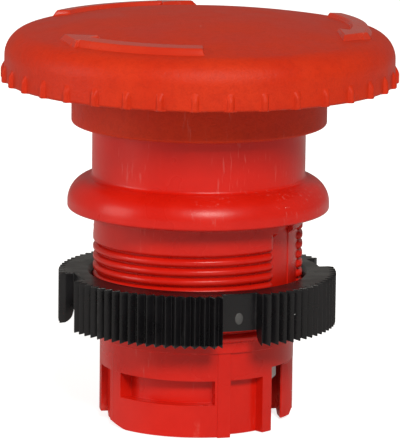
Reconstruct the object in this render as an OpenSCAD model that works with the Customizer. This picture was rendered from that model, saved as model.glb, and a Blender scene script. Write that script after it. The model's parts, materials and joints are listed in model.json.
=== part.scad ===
// Mushroom-head emergency stop operator for a 22 mm panel hole, with its black ring nut.
// Millimetres. The origin is on the axis, in the panel's plane at the flange's underside,
// and +Z points at the mushroom head. Angles run from the front (-Y) towards the right (+X).

/* [Head] */
// Radius of the head's rim between its grip ribs
head_r = 20.2; // [15:0.1:30]
// Height of the rim's lower edge
head_low_z = 13.3; // [12.5:0.1:15]
// Height of the middle of the domed top
head_top_z = 20.2; // [18.5:0.1:24]
// Radius of the domed top
dome_r = 98; // [60:1:200]
// Radius of the rounded shoulder between top and rim
shoulder_r = 2.65; // [1:0.05:4]
// Thickness of the rim's wall
head_wall = 1.6; // [1:0.1:3]
// Height of the flat roof inside the head
roof_z = 17.2; // [16.6:0.1:18]
// Number of grip ribs round the rim
grip_count = 36; // [12:1:60]
// Radius of one grip rib
grip_r = 0.45; // [0.2:0.05:0.8]
// How far a grip rib stands out of the rim
grip_out = 0.4; // [0.1:0.05:0.45]
// Height of a grip rib's round top end
grip_top_z = 15.0; // [14:0.1:17]
// Angle of the grip rib nearest to the front
grip_turn = -1.2; // [-5:0.1:5]
// Number of stiffening webs under the head
web_count = 6; // [3:1:12]
// Thickness of one stiffening web
web_w = 1.2; // [0.8:0.1:2]
// Lower edge of the stiffening webs
web_low_z = 14.6; // [13.5:0.1:16]

/* [Head Skirt] */
// Outer radius of the collar that covers the neck
collar_r = 13.24; // [12.5:0.01:15]
// Bore radius of that collar
collar_bore_r = 11.45; // [11.4:0.01:12]
// Height of the collar's lower edge
collar_low_z = 8.94; // [8.5:0.01:10]
// Width of the small chamfers on the collar's lower edge
collar_edge = 0.25; // [0.1:0.05:0.5]
// Outer radius of the inner sleeve
sleeve_r = 6.4; // [6:0.05:6.6]
// Bore radius of the inner sleeve
sleeve_bore_r = 4.6; // [4.5:0.05:5]
// Height of the sleeve's lower edge
sleeve_low_z = 8.5; // [8.3:0.1:9]
// Height where the sleeve's bore ends at the insert
boss_low_z = 12.9; // [12.7:0.05:13.2]

/* [Arrows] */
// Number of raised arrows on the top
arrow_count = 3; // [2:1:4]
// Height of an arrow above the dome
arrow_h = 0.35; // [0.2:0.05:1]
// Inner radius of an arrow's shaft
arrow_in_r = 15.75; // [10:0.05:17]
// Outer radius of an arrow's shaft
arrow_out_r = 17.3; // [12:0.05:18]
// Radius of the barb on the inner side
barb_in_r = 14.7; // [9:0.05:16]
// Radius of the barb on the outer side
barb_out_r = 18.2; // [13:0.05:19]
// Radius of an arrow's tip
tip_r = 16.4; // [12:0.05:18]
// Angle of an arrow's tail end
tail_deg = 1.2; // [-10:0.1:10]
// Angle of an arrow's barbs
barb_deg = -44.7; // [-60:0.1:-20]
// Angle of an arrow's tip
tip_deg = -56.6; // [-80:0.1:-40]

/* [Housing] */
// Radius of the neck under the head
neck_r = 11.07; // [10.9:0.01:11.1]
// Height of the neck's top
neck_top_z = 12.4; // [12:0.1:12.8]
// Bore radius of neck and barrel
bore_r = 8.8; // [8.5:0.05:9]
// Largest radius of the flange
flange_r = 13.6; // [13:0.05:15]
// Radius of the flange's rounded upper side
flange_round = 2.6; // [2:0.05:3]
// Height where that rounding starts
flange_side_z = 0.75; // [0.5:0.05:1]
// Edge chamfer on the flange's underside
flange_edge = 0.3; // [0.1:0.05:0.5]
// Plain length of barrel under the flange
plain_len = 1.4; // [1:0.1:2]
// Radius over the thread's crests
crest_r = 10.9; // [10.8:0.05:11]
// Radius at the thread's roots
root_r = 10.4; // [10.2:0.05:10.6]
// Pitch of the thread
pitch = 1.0; // [0.75:0.05:1.5]
// Width of the flat on a crest
crest_w = 0.25; // [0.1:0.05:0.4]
// Number of thread crests
crest_count = 12; // [6:1:14]
// First and last angle of the plain keyway in the thread
key_deg = [49, 64];
// Radius of the keyway's floor
key_r = 10.3; // [10:0.05:10.4]
// Height where the keyway starts under the flange
key_top_z = -0.85; // [-1.4:0.05:-0.75]

/* [Socket] */
// Radius of the lower socket
socket_r = 10.1; // [9.9:0.01:10.3]
// Height of the socket's lower end
socket_low_z = -22; // [-24:0.1:-21]
// Edge chamfer at the socket's lower end
socket_edge = 0.3; // [0.1:0.05:0.5]
// Upper and lower height of the floor ring inside
floor_z = [-13.0, -15.1];
// Bore radius of that floor ring
floor_bore_r = 6.26; // [6.2:0.01:6.4]
// Inner radius of the socket's cavity
cavity_r = 7.2; // [7:0.05:7.4]
// Inner radius of the cavity next to the leg slots
slot_cavity_r = 8.75; // [8.5:0.05:9]
// Angles of the slot that the plunger's wing shows in
slot_deg = [50.7, 80];
// Height of the slot's top
slot_top_z = -15.5; // [-16:0.05:-15.2]
// Angle where the widened cavity beside the slot ends
slot_cavity_deg = 100; // [85:1:101]
// Angles of the closed pocket
pocket_deg = [-50.6, 11.2];
// Lower and upper height of the closed pocket
pocket_z = [-18.85, -16.35];
// Radius of the closed pocket's floor
pocket_r = 8.6; // [8:0.05:9.5]
// Angles of the side recess that is open below
side_deg = [-77.5, -58.4];
// Radius of the side recess's floor
side_r = 9.4; // [8.8:0.05:9.8]
// Angles of the deep recess that is open below
deep_deg = [20.5, 43];
// Radius of the deep recess's floor
deep_r = 9.3; // [8.8:0.05:9.8]
// Height of the top of the recesses
recess_z = -16.25; // [-17:0.05:-15.5]
// Angles of the raised coding rib
rib_deg = [12.7, 20.5];
// Radius over the coding rib
rib_r = 10.35; // [10.2:0.05:10.6]
// Lower and upper height of the coding rib
rib_z = [-22.25, -14.2];

/* [Seals] */
// Inner and outer radius of the panel gasket
gasket_r = [11.6, 13.0];
// Thickness of the panel gasket
gasket_h = 0.75; // [0.5:0.05:1]
// Clearance round parts seated in the housing
seat_gap = 0.05; // [0.02:0.01:0.1]
// Lower and upper height of the wiper seal
wiper_z = [9.0, 11.0];
// Running clearance of the wiper's lip on the sleeve
lip_gap = 0.05; // [0.02:0.01:0.1]
// Thickness of the wiper's lip
lip_h = 0.5; // [0.3:0.05:0.8]
// Inner radius of the wiper's body
wiper_body_r = 7.3; // [7:0.05:7.6]
// Inner radius of the seal retainer
retainer_r = 6.8; // [6.7:0.05:7.2]
// Height of the seal retainer's top
retainer_top_z = 12.2; // [11.8:0.05:12.4]
// Wire radius of the spindle's sealing ring
oring_w = 0.4; // [0.3:0.05:0.6]
// Height of the spindle's sealing ring
oring_z = -1.6; // [-2.2:0.1:-0.8]

/* [Latch] */
// Lower and upper height of the guide bush
bush_z = [-3.0, 2.8];
// Height where the bush's narrow bore ends
bush_step_z = 0; // [-0.5:0.05:0.1]
// Radius of the passage above that bore
passage_r = 4.7; // [4.6:0.05:5]
// Height of the latch spring's wire
latch_z = 2.0; // [1.8:0.05:2.3]
// Wire radius of the latch spring
latch_w = 0.4; // [0.3:0.05:0.5]
// Length of a latch leg on the open side of the axis
latch_leg = 6.4; // [5:0.1:7]
// Distance from the axis to the latch spring's bend centre
latch_bend_x = 4.2; // [3:0.1:4.4]
// Angle that the latch spring's bend points at
latch_deg = 64.5; // [0:0.5:360]
// Gap round the latch spring in its pocket
latch_gap = 0.25; // [0.1:0.05:0.4]
// Room on each side for the latch legs to spread
latch_spread = 1.4; // [1:0.1:1.8]
// Thickness of the latch cover's plate
cover_h = 1.2; // [0.8:0.1:1.5]
// Inner radius of the latch cover's wall
cover_wall_r = 7.9; // [7.5:0.05:8.2]

/* [Spindle] */
// Radius of the spindle's shaft
shaft_r = 3.0; // [2.5:0.05:3.2]
// Running clearance of shafts in their bores
run_gap = 0.06; // [0.02:0.01:0.1]
// Radius of the latch shoulder
shoulder_out_r = 4.1; // [3.8:0.05:4.2]
// Radius of the release cam's lobes
cam_r = 4.3; // [4.2:0.05:4.4]
// Lower and upper height of the lead-in cone
cone_z = [4.4, 5.5];
// Height of the release cam's top
cam_top_z = 7.4; // [7:0.1:7.8]
// Radius of the clamping collar under the insert
clamp_r = 4.2; // [4:0.05:4.4]
// Thickness of that collar
clamp_h = 1.0; // [0.8:0.05:1.2]
// Radius of the threaded stud
stud_r = 2.0; // [1.8:0.05:2.2]
// Height of the stud's end
stud_top_z = 16.3; // [15.5:0.1:16.6]
// Height of the shoulder on the thrust washer
step_z = -9.6; // [-10:0.05:-9]
// Radius of the lower journal
journal_r = 2.5; // [2.2:0.05:2.7]
// Height of the spindle's lower end
spindle_low_z = -13.6; // [-14.5:0.1:-13]
// Radius at the bottom of the clip groove
clip_groove_r = 2.0; // [1.8:0.05:2.2]
// Lower and upper height of the retaining clip
clip_z = [-12.75, -12.15];
// Outer radius of the retaining clip
clip_r = 4.2; // [3.6:0.05:4.6]

/* [Insert] */
// Radius of the threaded insert over its corners
insert_r = 3.7; // [3.3:0.05:3.9]
// Lower and upper height of the threaded insert
insert_z = [13.3, 16.6];
// Thickness of the lock washer under the insert
washer_h = 0.35; // [0.2:0.05:0.5]

/* [Plunger] */
// Outer radius of the plunger's tube
tube_r = 6.2; // [6:0.01:6.25]
// Bore radius of the plunger's tube
tube_bore_r = 5.2; // [5:0.05:5.4]
// Height of the plunger's top
plunger_top_z = -3.3; // [-4:0.1:-3.1]
// Height of the plunger tube's lower end
tube_low_z = -16; // [-16.5:0.1:-15.5]
// Radius of the plunger's spring flange
seat_r = 8.4; // [8:0.05:8.5]
// Thickness of that flange
seat_h = 1.2; // [0.8:0.1:1.5]
// Upper and lower height of the bearing floor
bearing_z = [-10, -12];
// Radius over the wings
wing_r = 8.4; // [8:0.05:8.6]
// Width of a wing
wing_w = 3.4; // [3:0.1:3.5]
// Lower and upper height of the wings
wing_z = [-17.9, -15.55];
// Chamfer on the lower corners of the wings
wing_edge = 0.6; // [0.3:0.05:1]
// Inner and outer radius of the foot's plug
plug_r = [3.6, 5.15];
// Height of the plug's top
plug_top_z = -13.9; // [-14.5:0.1:-13.8]
// Outer radius of the thrust washer
thrust_r = 4.9; // [4:0.05:5]
// Thickness of the thrust washer
thrust_h = 0.35; // [0.2:0.05:0.4]

/* [Springs] */
// Wire radius of the return spring
return_w = 0.35; // [0.25:0.05:0.45]
// Mean radius of the return spring
return_r = 7.35; // [7:0.05:7.6]
// Number of coils in the return spring
return_coils = 5; // [4:1:6]
// Thickness of the washer under the return spring
seat_washer_h = 0.4; // [0.3:0.05:0.6]
// Wire radius of the turning spring
turn_w = 0.25; // [0.2:0.05:0.35]
// Mean radius of the turning spring
turn_r = 4.0; // [3.8:0.05:4.4]
// Number of coils in the turning spring
turn_coils = 6; // [4:1:8]

/* [Ring Nut] */
// Radius over the nut's knurl
nut_r = 14.5; // [14:0.05:16]
// Radius at the bottom of the knurl
knurl_root_r = 14.05; // [13.5:0.05:14.4]
// Bore radius of the nut, over the thread's crests
nut_bore_r = 10.98; // [10.95:0.01:11.2]
// Radius of the bore's upper chamfer
nut_mouth_r = 11.5; // [11.2:0.05:12]
// Height of the nut's top
nut_top_z = -6.6; // [-8:0.1:-6]
// Height of the nut
nut_h = 5.4; // [4:0.1:7]
// Depth of the hollow under the nut
nut_hollow = 1.5; // [1:0.1:2.5]
// Radius of that hollow and of the grip notches' floor
notch_r = 13.0; // [12.5:0.05:13.5]
// Number of grip notches
notch_count = 4; // [3:1:6]
// Angle that one grip notch spans
notch_deg = 17; // [10:0.5:30]
// Angle of the front notch's middle
notch_turn = 19.3; // [0:0.1:90]
// Number of knurl teeth in a full turn
knurl_count = 90; // [60:1:120]
// Edge chamfer of the nut
nut_edge = 0.25; // [0.1:0.05:0.5]
// Rise of the skirt's underside from its outer edge to its inner one
nut_under_rise = 1.0; // [0.3:0.05:1.3]
// Radius of the round gate mark in the front notch
gate_r = 0.5; // [0.3:0.05:0.8]

/* [Hidden] */
$fn = 96;
front = -90;
eps = 0.01;
bite = 0.3;
cam_flat = shaft_r + seat_gap;
shoulder_z = head_top_z - dome_r + sqrt(pow(dome_r - shoulder_r, 2) - pow(head_r - shoulder_r, 2));
grip_pcr = head_r + grip_out - grip_r;
skirt_in_r = head_r - head_wall;
seated_r = bore_r - seat_gap;
pocket_top_z = latch_z + latch_w + latch_gap;
leg_y = shaft_r + latch_w + run_gap;
crest_top_z = -plain_len - pitch / 2;
thread_low_z = -plain_len - crest_count * pitch;
cover_plate_z = bush_z[1] + cover_h;
cavity_low_z = socket_low_z - 1;
return_low_z = floor_z[0] + seat_washer_h + return_w;
return_top_z = plunger_top_z - seat_h - return_w;
return_step = (return_top_z - return_low_z) / (return_coils - 1);
turn_low_z = bearing_z[0] + thrust_h + turn_w + seat_gap;
turn_step = 2 * turn_w + 0.3 * turn_w;
nut_low_z = nut_top_z - nut_h;
disc_low_z = nut_low_z + nut_hollow;
teeth_step = 360 / knurl_count;
red = [0.78, 0.08, 0.06];
black = [0.06, 0.06, 0.06];
pale = [0.72, 0.72, 0.70];
steel = [0.66, 0.67, 0.68];
brass = [0.76, 0.60, 0.30];
rubber = [0.10, 0.10, 0.10];

// A piece of a ring between two radii, two heights and two angles.
module sector(radii, heights, angles) {
  translate([0, 0, heights[0]])
    rotate([0, 0, front + angles[0]])
      rotate_extrude(angle = angles[1] - angles[0])
        translate([radii[0], 0])
          square([radii[1] - radii[0], heights[1] - heights[0]]);
}

// A plain ring with a flat top and bottom.
module ring(radii, heights) {
  translate([0, 0, heights[0]])
    rotate_extrude()
      translate([radii[0], 0])
        square([radii[1] - radii[0], heights[1] - heights[0]]);
}

// A disc or post between two heights.
module post(radius, heights) {
  translate([0, 0, heights[0]])
    cylinder(r = radius, h = heights[1] - heights[0]);
}

// A wire bent into a closed ring.
module wire_ring(radius, wire, height) {
  translate([0, 0, height])
    rotate_extrude()
      translate([radius, 0])
        circle(r = wire, $fn = 32);
}

// Half outline of the head.
module head_outline() {
  intersection() {
    translate([0, head_top_z - dome_r])
      circle(r = dome_r, $fn = 720);
    union() {
      translate([0, head_low_z])
        square([head_r, shoulder_z - head_low_z]);
      translate([0, head_low_z])
        square([head_r - shoulder_r, dome_r]);
      translate([head_r - shoulder_r, shoulder_z])
        circle(r = shoulder_r);
    }
    square([head_r, head_top_z]);
  }
}

// Plan of one arrow that follows the rim clockwise.
module arrow_plan() {
  intersection() {
    difference() {
      circle(r = arrow_out_r);
      circle(r = arrow_in_r);
    }
    polygon([[0, 0],
      on_circle(2 * head_r, barb_deg - eps),
      on_circle(2 * head_r, (barb_deg + tail_deg) / 2),
      on_circle(2 * head_r, tail_deg)]);
  }
  polygon([on_circle(barb_in_r, barb_deg), on_circle(tip_r, tip_deg), on_circle(barb_out_r, barb_deg)]);
}

function on_circle(radius, angle) = [radius * sin(angle), -radius * cos(angle)];

// The red mushroom head with its arrows, grip ribs, collar and inner sleeve.
module mushroom_cap() {
  color(red) {
    difference() {
      rotate([0, 0, grip_turn + 180 / grip_count])
        rotate_extrude()
          head_outline();
      post(skirt_in_r, [head_low_z - 1, roof_z]);
    }
    intersection() {
      translate([0, 0, head_top_z - dome_r])
        sphere(r = dome_r + arrow_h, $fn = 720);
      for (i = [0:arrow_count - 1])
        rotate([0, 0, i * 360 / arrow_count])
          translate([0, 0, roof_z + bite])
            linear_extrude(height = head_top_z)
              arrow_plan();
    }
    for (i = [0:grip_count - 1])
      rotate([0, 0, front + grip_turn + i * 360 / grip_count])
        translate([grip_pcr, 0, head_low_z]) {
          cylinder(r = grip_r, h = grip_top_z - head_low_z, $fn = 24);
          translate([0, 0, grip_top_z - head_low_z])
            sphere(r = grip_r, $fn = 24);
        }
    for (i = [0:web_count - 1])
      rotate([0, 0, i * 360 / web_count])
        translate([collar_r - bite, -web_w / 2, web_low_z])
          cube([skirt_in_r - collar_r + 2 * bite, web_w, roof_z - web_low_z + bite / 2]);
    rotate_extrude()
      polygon([[collar_bore_r, roof_z + bite],
        [collar_bore_r, collar_low_z + collar_edge],
        [collar_bore_r + collar_edge, collar_low_z],
        [collar_r - collar_edge, collar_low_z],
        [collar_r, collar_low_z + collar_edge],
        [collar_r, roof_z + bite]]);
    difference() {
      rotate_extrude()
        polygon([[sleeve_bore_r, sleeve_low_z],
          [sleeve_r, sleeve_low_z],
          [sleeve_r, roof_z + bite],
          [0, roof_z + bite],
          [0, boss_low_z],
          [sleeve_bore_r, boss_low_z]]);
      post(stud_r + bite, [boss_low_z - 1, insert_z[0] + 1]);
      translate([0, 0, insert_z[0] - eps])
        cylinder(r = insert_r + seat_gap, h = insert_z[1] - insert_z[0], $fn = 6);
    }
  }
}

// Hexagonal brass nut moulded into the head.
module cap_insert() {
  color(brass)
    translate([0, 0, insert_z[0]])
      difference() {
        cylinder(r = insert_r, h = insert_z[1] - insert_z[0] - 2 * eps, $fn = 6);
        translate([0, 0, -1])
          cylinder(r = stud_r + seat_gap, h = stud_top_z);
      }
}

// Split spring washer between the spindle's collar and the insert.
module lock_washer() {
  color(steel)
    difference() {
      ring([stud_r + 0.1, clamp_r - 0.6], [boss_low_z - washer_h, boss_low_z]);
      translate([0, 0, boss_low_z - 2 * washer_h])
        rotate([0, 0, 30])
          cube([clamp_r, 0.4, 3 * washer_h]);
    }
}

// Turned spindle with stud, clamping collar, release cam, latch shoulder and journal.
module spindle() {
  color(steel) {
    difference() {
      rotate_extrude()
        polygon([[0, spindle_low_z],
          [journal_r - 0.3, spindle_low_z],
          [journal_r, spindle_low_z + 0.3],
          [journal_r, clip_z[0] - 0.05],
          [clip_groove_r, clip_z[0] - 0.05],
          [clip_groove_r, clip_z[1] + 0.05],
          [journal_r, clip_z[1] + 0.05],
          [journal_r, step_z],
          [shaft_r, step_z],
          [shaft_r, cone_z[0]],
          [shoulder_out_r, cone_z[1]],
          [shaft_r, cone_z[1]],
          [shaft_r, boss_low_z - washer_h - clamp_h],
          [clamp_r, boss_low_z - washer_h - clamp_h],
          [clamp_r, boss_low_z - washer_h],
          [stud_r, boss_low_z - washer_h],
          [stud_r, stud_top_z - 0.3],
          [stud_r - 0.3, stud_top_z],
          [0, stud_top_z]]);
      wire_ring(shaft_r, oring_w - 0.05, oring_z);
    }
    rotate([0, 0, front + latch_deg])
      intersection() {
        post(cam_r, [cone_z[1] - bite, cam_top_z]);
        translate([-cam_r - 1, -cam_flat, cone_z[0]])
          cube([2 * cam_r + 2, 2 * cam_flat, cam_top_z]);
      }
  }
}

// Spring clip that holds the spindle under the plunger's bearing floor.
module retaining_clip() {
  color(steel)
    translate([0, 0, clip_z[0]])
      linear_extrude(height = clip_z[1] - clip_z[0])
        difference() {
          circle(r = clip_r);
          circle(r = clip_groove_r + 0.02);
          translate([-1.7, -clip_r - 1])
            square([3.4, clip_r + 1]);
          for (side = [-1, 1])
            rotate(side * 75 + 90)
              translate([3.0, 0])
                circle(r = 0.55);
        }
}

// Light coil spring that turns the head back.
module turning_spring() {
  color(steel) {
    for (i = [0:turn_coils - 1])
      wire_ring(turn_r, turn_w, turn_low_z + i * turn_step);
    for (i = [0:turn_coils - 2])
      rotate([0, 0, i * 60])
        translate([turn_r, 0, turn_low_z + i * turn_step])
          cylinder(r = turn_w * 0.8, h = turn_step, $fn = 24);
    translate([turn_r, 0, turn_low_z + (turn_coils - 1) * turn_step])
      cylinder(r = turn_w * 0.9, h = 1.4, $fn = 24);
  }
}

// Rubber ring in the spindle's groove, running in the guide bush.
module spindle_o_ring() {
  color(rubber)
    difference() {
      wire_ring(shaft_r, oring_w - 0.08, oring_z);
      ring([shaft_r, shaft_r + 1], [oring_z - 1, oring_z + 1]);
    }
}

// Pale sliding plunger: spring flange, tube and bearing floor for the spindle.
module plunger() {
  color(pale)
    difference() {
      union() {
        post(tube_r, [tube_low_z, plunger_top_z]);
        post(seat_r, [plunger_top_z - seat_h, plunger_top_z]);
      }
      post(tube_bore_r, [bearing_z[0], plunger_top_z + 1]);
      post(journal_r + run_gap, [bearing_z[1] - 1, bearing_z[0] + 1]);
      post(tube_bore_r, [tube_low_z - 1, bearing_z[1]]);
    }
}

// Pale foot with two wings that show in the socket's slots and push the contact blocks.
module plunger_foot() {
  color(pale) {
    ring([plug_r[0], plug_r[1]], [wing_z[0] + 1, plug_top_z]);
    difference() {
      union() {
        post(tube_r - 0.1, [wing_z[0], tube_low_z]);
        rotate([0, 0, front + (slot_deg[0] + slot_deg[1]) / 2])
          rotate([90, 0, 0])
            translate([0, 0, -wing_w / 2])
              linear_extrude(height = wing_w)
                polygon([[-wing_r, wing_z[1]],
                  [-wing_r, wing_z[0] + wing_edge],
                  [-wing_r + wing_edge, wing_z[0]],
                  [wing_r - wing_edge, wing_z[0]],
                  [wing_r, wing_z[0] + wing_edge],
                  [wing_r, wing_z[1]]]);
      }
      post(tube_r + run_gap, [tube_low_z, wing_z[1] + 1]);
      post(plug_r[0], [wing_z[0] + 1, tube_low_z]);
    }
  }
}

// Thin washer between the spindle's shoulder and the plunger.
module thrust_washer() {
  color(brass)
    ring([journal_r + 0.1, thrust_r], [bearing_z[0], bearing_z[0] + thrust_h]);
}

// Outline of the threaded barrel between two crests' ends.
module barrel_outline() {
  square_z = floor_z[1];
  translate([0, square_z])
    square([root_r, -square_z]);
  translate([0, -plain_len])
    square([crest_r, plain_len]);
  for (i = [0:crest_count - 1])
    translate([0, crest_top_z - i * pitch])
      polygon([[0, pitch / 2 - crest_w / 2],
        [root_r, pitch / 2 - crest_w / 2],
        [crest_r, crest_w / 2],
        [crest_r, -crest_w / 2],
        [root_r, crest_w / 2 - pitch / 2],
        [0, crest_w / 2 - pitch / 2]]);
}

// Outline of the flange with its rounded upper side.
module flange_outline() {
  intersection() {
    translate([flange_r - flange_round, flange_side_z])
      circle(r = flange_round);
    translate([0, flange_side_z])
      square([flange_r, flange_round]);
  }
  translate([0, flange_side_z - eps])
    square([flange_r - flange_round, flange_round]);
  polygon([[0, 0], [flange_r - flange_edge, 0], [flange_r, flange_edge],
    [flange_r, flange_side_z], [0, flange_side_z]]);
}

// One half of the features round the lower socket.
module socket_cuts() {
  far = socket_r + 2;
  sector([pocket_r, far], pocket_z, pocket_deg);
  sector([side_r, far], [cavity_low_z, recess_z], side_deg);
  sector([deep_r, far], [cavity_low_z, recess_z], deep_deg);
  sector([cavity_r - 1, far], [cavity_low_z, slot_top_z], slot_deg);
  sector([cavity_r - 1, slot_cavity_r], [cavity_low_z, slot_top_z], [slot_deg[0], slot_cavity_deg]);
}

// The red body: neck, flange, threaded barrel and bayonet socket.
module housing() {
  color(red)
    difference() {
      union() {
        post(neck_r, [0, neck_top_z]);
        rotate_extrude()
          flange_outline();
        difference() {
          rotate_extrude()
            barrel_outline();
          sector([key_r, crest_r + 1], [thread_low_z - pitch, key_top_z], key_deg);
        }
        rotate_extrude()
          polygon([[0, socket_low_z],
            [socket_r - socket_edge, socket_low_z],
            [socket_r, socket_low_z + socket_edge],
            [socket_r, thread_low_z],
            [0, thread_low_z]]);
        for (turn = [0, 180])
          rotate([0, 0, turn])
            sector([cavity_r + 1, rib_r], rib_z, rib_deg);
      }
      post(bore_r, [floor_z[0], neck_top_z + 1]);
      post(floor_bore_r, [floor_z[1] - 1, floor_z[0] + 1]);
      post(cavity_r, [cavity_low_z, floor_z[1]]);
      ring([gasket_r[0] - seat_gap, gasket_r[1] + seat_gap], [-1, gasket_h]);
      for (turn = [0, 180])
        rotate([0, 0, turn])
          socket_cuts();
    }
}

// Flat rubber ring in the groove of the flange's underside.
module panel_gasket() {
  color(rubber)
    ring(gasket_r, [0, gasket_h]);
}

// Pale bush that guides the spindle and carries the latch spring.
module guide_bush() {
  color(pale)
    difference() {
      post(seated_r, bush_z);
      post(shaft_r + run_gap, [bush_z[0] - 1, bush_step_z + 1]);
      post(passage_r, [bush_step_z, bush_z[1] + 1]);
      rotate([0, 0, front + latch_deg]) {
        translate([-latch_leg - latch_gap, -leg_y - latch_spread, latch_z - latch_w - latch_gap])
          cube([latch_leg + latch_gap + latch_bend_x, 2 * (leg_y + latch_spread), bush_z[1]]);
        translate([latch_bend_x, 0, latch_z - latch_w - latch_gap])
          cylinder(r = leg_y + latch_w + latch_gap, h = bush_z[1]);
      }
    }
}

// Hairpin wire spring that snaps over the spindle's shoulder.
module latch_spring() {
  color(steel)
    rotate([0, 0, front + latch_deg])
      translate([0, 0, latch_z]) {
        for (side = [-1, 1])
          translate([-latch_leg, side * leg_y, 0])
            rotate([0, 90, 0])
              cylinder(r = latch_w, h = latch_leg + latch_bend_x, $fn = 32);
        translate([latch_bend_x, 0, 0])
          rotate([0, 0, -90])
            rotate_extrude(angle = 180)
              translate([leg_y, 0])
                circle(r = latch_w, $fn = 32);
      }
}

// Black cup that closes the latch pocket and carries the wiper seal.
module latch_cover() {
  color(black) {
    ring([passage_r, seated_r], [bush_z[1], cover_plate_z]);
    ring([cover_wall_r, seated_r], [cover_plate_z, wiper_z[0]]);
  }
}

// Rubber wiper whose lip runs on the head's inner sleeve.
module wiper_seal() {
  color(rubber)
    rotate_extrude()
      polygon([[seated_r, wiper_z[0]],
        [seated_r, wiper_z[1]],
        [wiper_body_r, wiper_z[1]],
        [sleeve_r + lip_gap, wiper_z[1] - lip_h / 2],
        [sleeve_r + lip_gap, wiper_z[1] - lip_h],
        [wiper_body_r, wiper_z[1] - 2 * lip_h],
        [wiper_body_r, wiper_z[0]]]);
}

// Black ring pressed into the neck to hold the wiper seal.
module seal_retainer() {
  color(black)
    ring([retainer_r, seated_r], [wiper_z[1], retainer_top_z]);
}

// Steel washer under the return spring.
module spring_seat_washer() {
  color(steel)
    ring([tube_r + 0.3, bore_r - 0.15], [floor_z[0], floor_z[0] + seat_washer_h]);
}

// Coil spring that lifts plunger and head.
module return_spring() {
  color(steel) {
    for (i = [0:return_coils - 1])
      wire_ring(return_r, return_w, return_low_z + i * return_step);
    for (i = [0:return_coils - 2])
      rotate([0, 0, i * 360 / return_coils])
        translate([return_r, 0, return_low_z + i * return_step])
          cylinder(r = return_w * 0.8, h = return_step, $fn = 24);
  }
}

// Outline of the nut with its chamfered bore and hollow underside.
module nut_outline() {
  polygon([[nut_bore_r, disc_low_z + nut_edge],
    [nut_bore_r + nut_edge, disc_low_z],
    [notch_r, disc_low_z],
    [notch_r, nut_low_z + nut_under_rise],
    [nut_r - nut_edge, nut_low_z],
    [nut_r, nut_low_z + nut_edge],
    [nut_r, nut_top_z - nut_edge],
    [nut_r - nut_edge, nut_top_z],
    [nut_mouth_r, nut_top_z],
    [nut_bore_r, nut_top_z - nut_mouth_r + nut_bore_r]]);
}

// Plan of the knurl: a toothed disc.
module knurl_plan() {
  polygon([for (i = [0:2 * knurl_count - 1])
    on_circle(i % 2 == 0 ? nut_r : knurl_root_r, notch_turn + i * teeth_step / 2)]);
}

// Black knurled ring nut with four grip notches and a plain round gate mark.
module ring_nut() {
  color(black) {
    intersection() {
      rotate_extrude()
        nut_outline();
      difference() {
        translate([0, 0, nut_low_z - 1])
          linear_extrude(height = nut_h + 2)
            knurl_plan();
        for (i = [0:notch_count - 1])
          sector([notch_r, nut_r + 1], [nut_low_z - 2, nut_top_z + 2],
            [notch_turn - notch_deg / 2 + i * 360 / notch_count,
              notch_turn + notch_deg / 2 + i * 360 / notch_count]);
      }
    }
    rotate([0, 0, front + notch_turn])
      translate([notch_r - 0.3, 0, (nut_top_z + disc_low_z) / 2 - gate_r])
        rotate([0, 90, 0])
          cylinder(r = gate_r, h = 0.4, $fn = 32);
  }
}

mushroom_cap();
cap_insert();
lock_washer();
spindle();
retaining_clip();
turning_spring();
spindle_o_ring();
plunger();
plunger_foot();
thrust_washer();
housing();
panel_gasket();
guide_bush();
latch_spring();
latch_cover();
wiper_seal();
seal_retainer();
spring_seat_washer();
return_spring();
ring_nut();
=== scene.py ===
import json
import math

import bmesh
import bpy
from mathutils import Matrix, Vector


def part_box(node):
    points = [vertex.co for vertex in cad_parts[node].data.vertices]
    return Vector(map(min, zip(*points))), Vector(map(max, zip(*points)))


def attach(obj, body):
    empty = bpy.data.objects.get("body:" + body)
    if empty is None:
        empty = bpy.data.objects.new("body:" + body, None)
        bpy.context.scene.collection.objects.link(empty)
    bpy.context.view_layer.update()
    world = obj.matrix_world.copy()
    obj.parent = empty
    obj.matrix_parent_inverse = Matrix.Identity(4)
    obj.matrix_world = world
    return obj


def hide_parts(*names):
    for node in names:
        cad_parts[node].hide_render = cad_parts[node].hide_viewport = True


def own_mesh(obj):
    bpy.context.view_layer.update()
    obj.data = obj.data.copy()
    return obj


# Looks of a mushroom-head emergency stop operator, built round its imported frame.
# Lengths in the shape functions are millimetres, turned to metres where a mesh is made.
# An angle runs from the front (-Y) towards the right (+X), in degrees.

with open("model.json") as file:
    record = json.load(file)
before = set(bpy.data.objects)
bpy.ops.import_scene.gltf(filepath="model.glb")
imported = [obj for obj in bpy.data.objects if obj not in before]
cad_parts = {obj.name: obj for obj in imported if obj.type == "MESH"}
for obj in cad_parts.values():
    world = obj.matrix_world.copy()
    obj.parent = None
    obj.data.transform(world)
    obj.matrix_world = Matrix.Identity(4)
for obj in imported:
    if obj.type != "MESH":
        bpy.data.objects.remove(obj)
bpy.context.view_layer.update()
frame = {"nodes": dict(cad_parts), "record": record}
MM = 0.001


def high(node):
    """The highest corner of a CAD node, in millimetres."""
    return [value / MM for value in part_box(node)[1]]


def low(node):
    """The lowest corner of a CAD node, in millimetres."""
    return [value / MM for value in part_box(node)[0]]


# Grip ribs: how far out and how wide, their number, the first one's angle and their top
RIB_OUT = 0.4
RIB_HALF = 0.4
RIB_COUNT = 36
RIB_TURN = -1.2
RIB_TOP = 15.25

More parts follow.
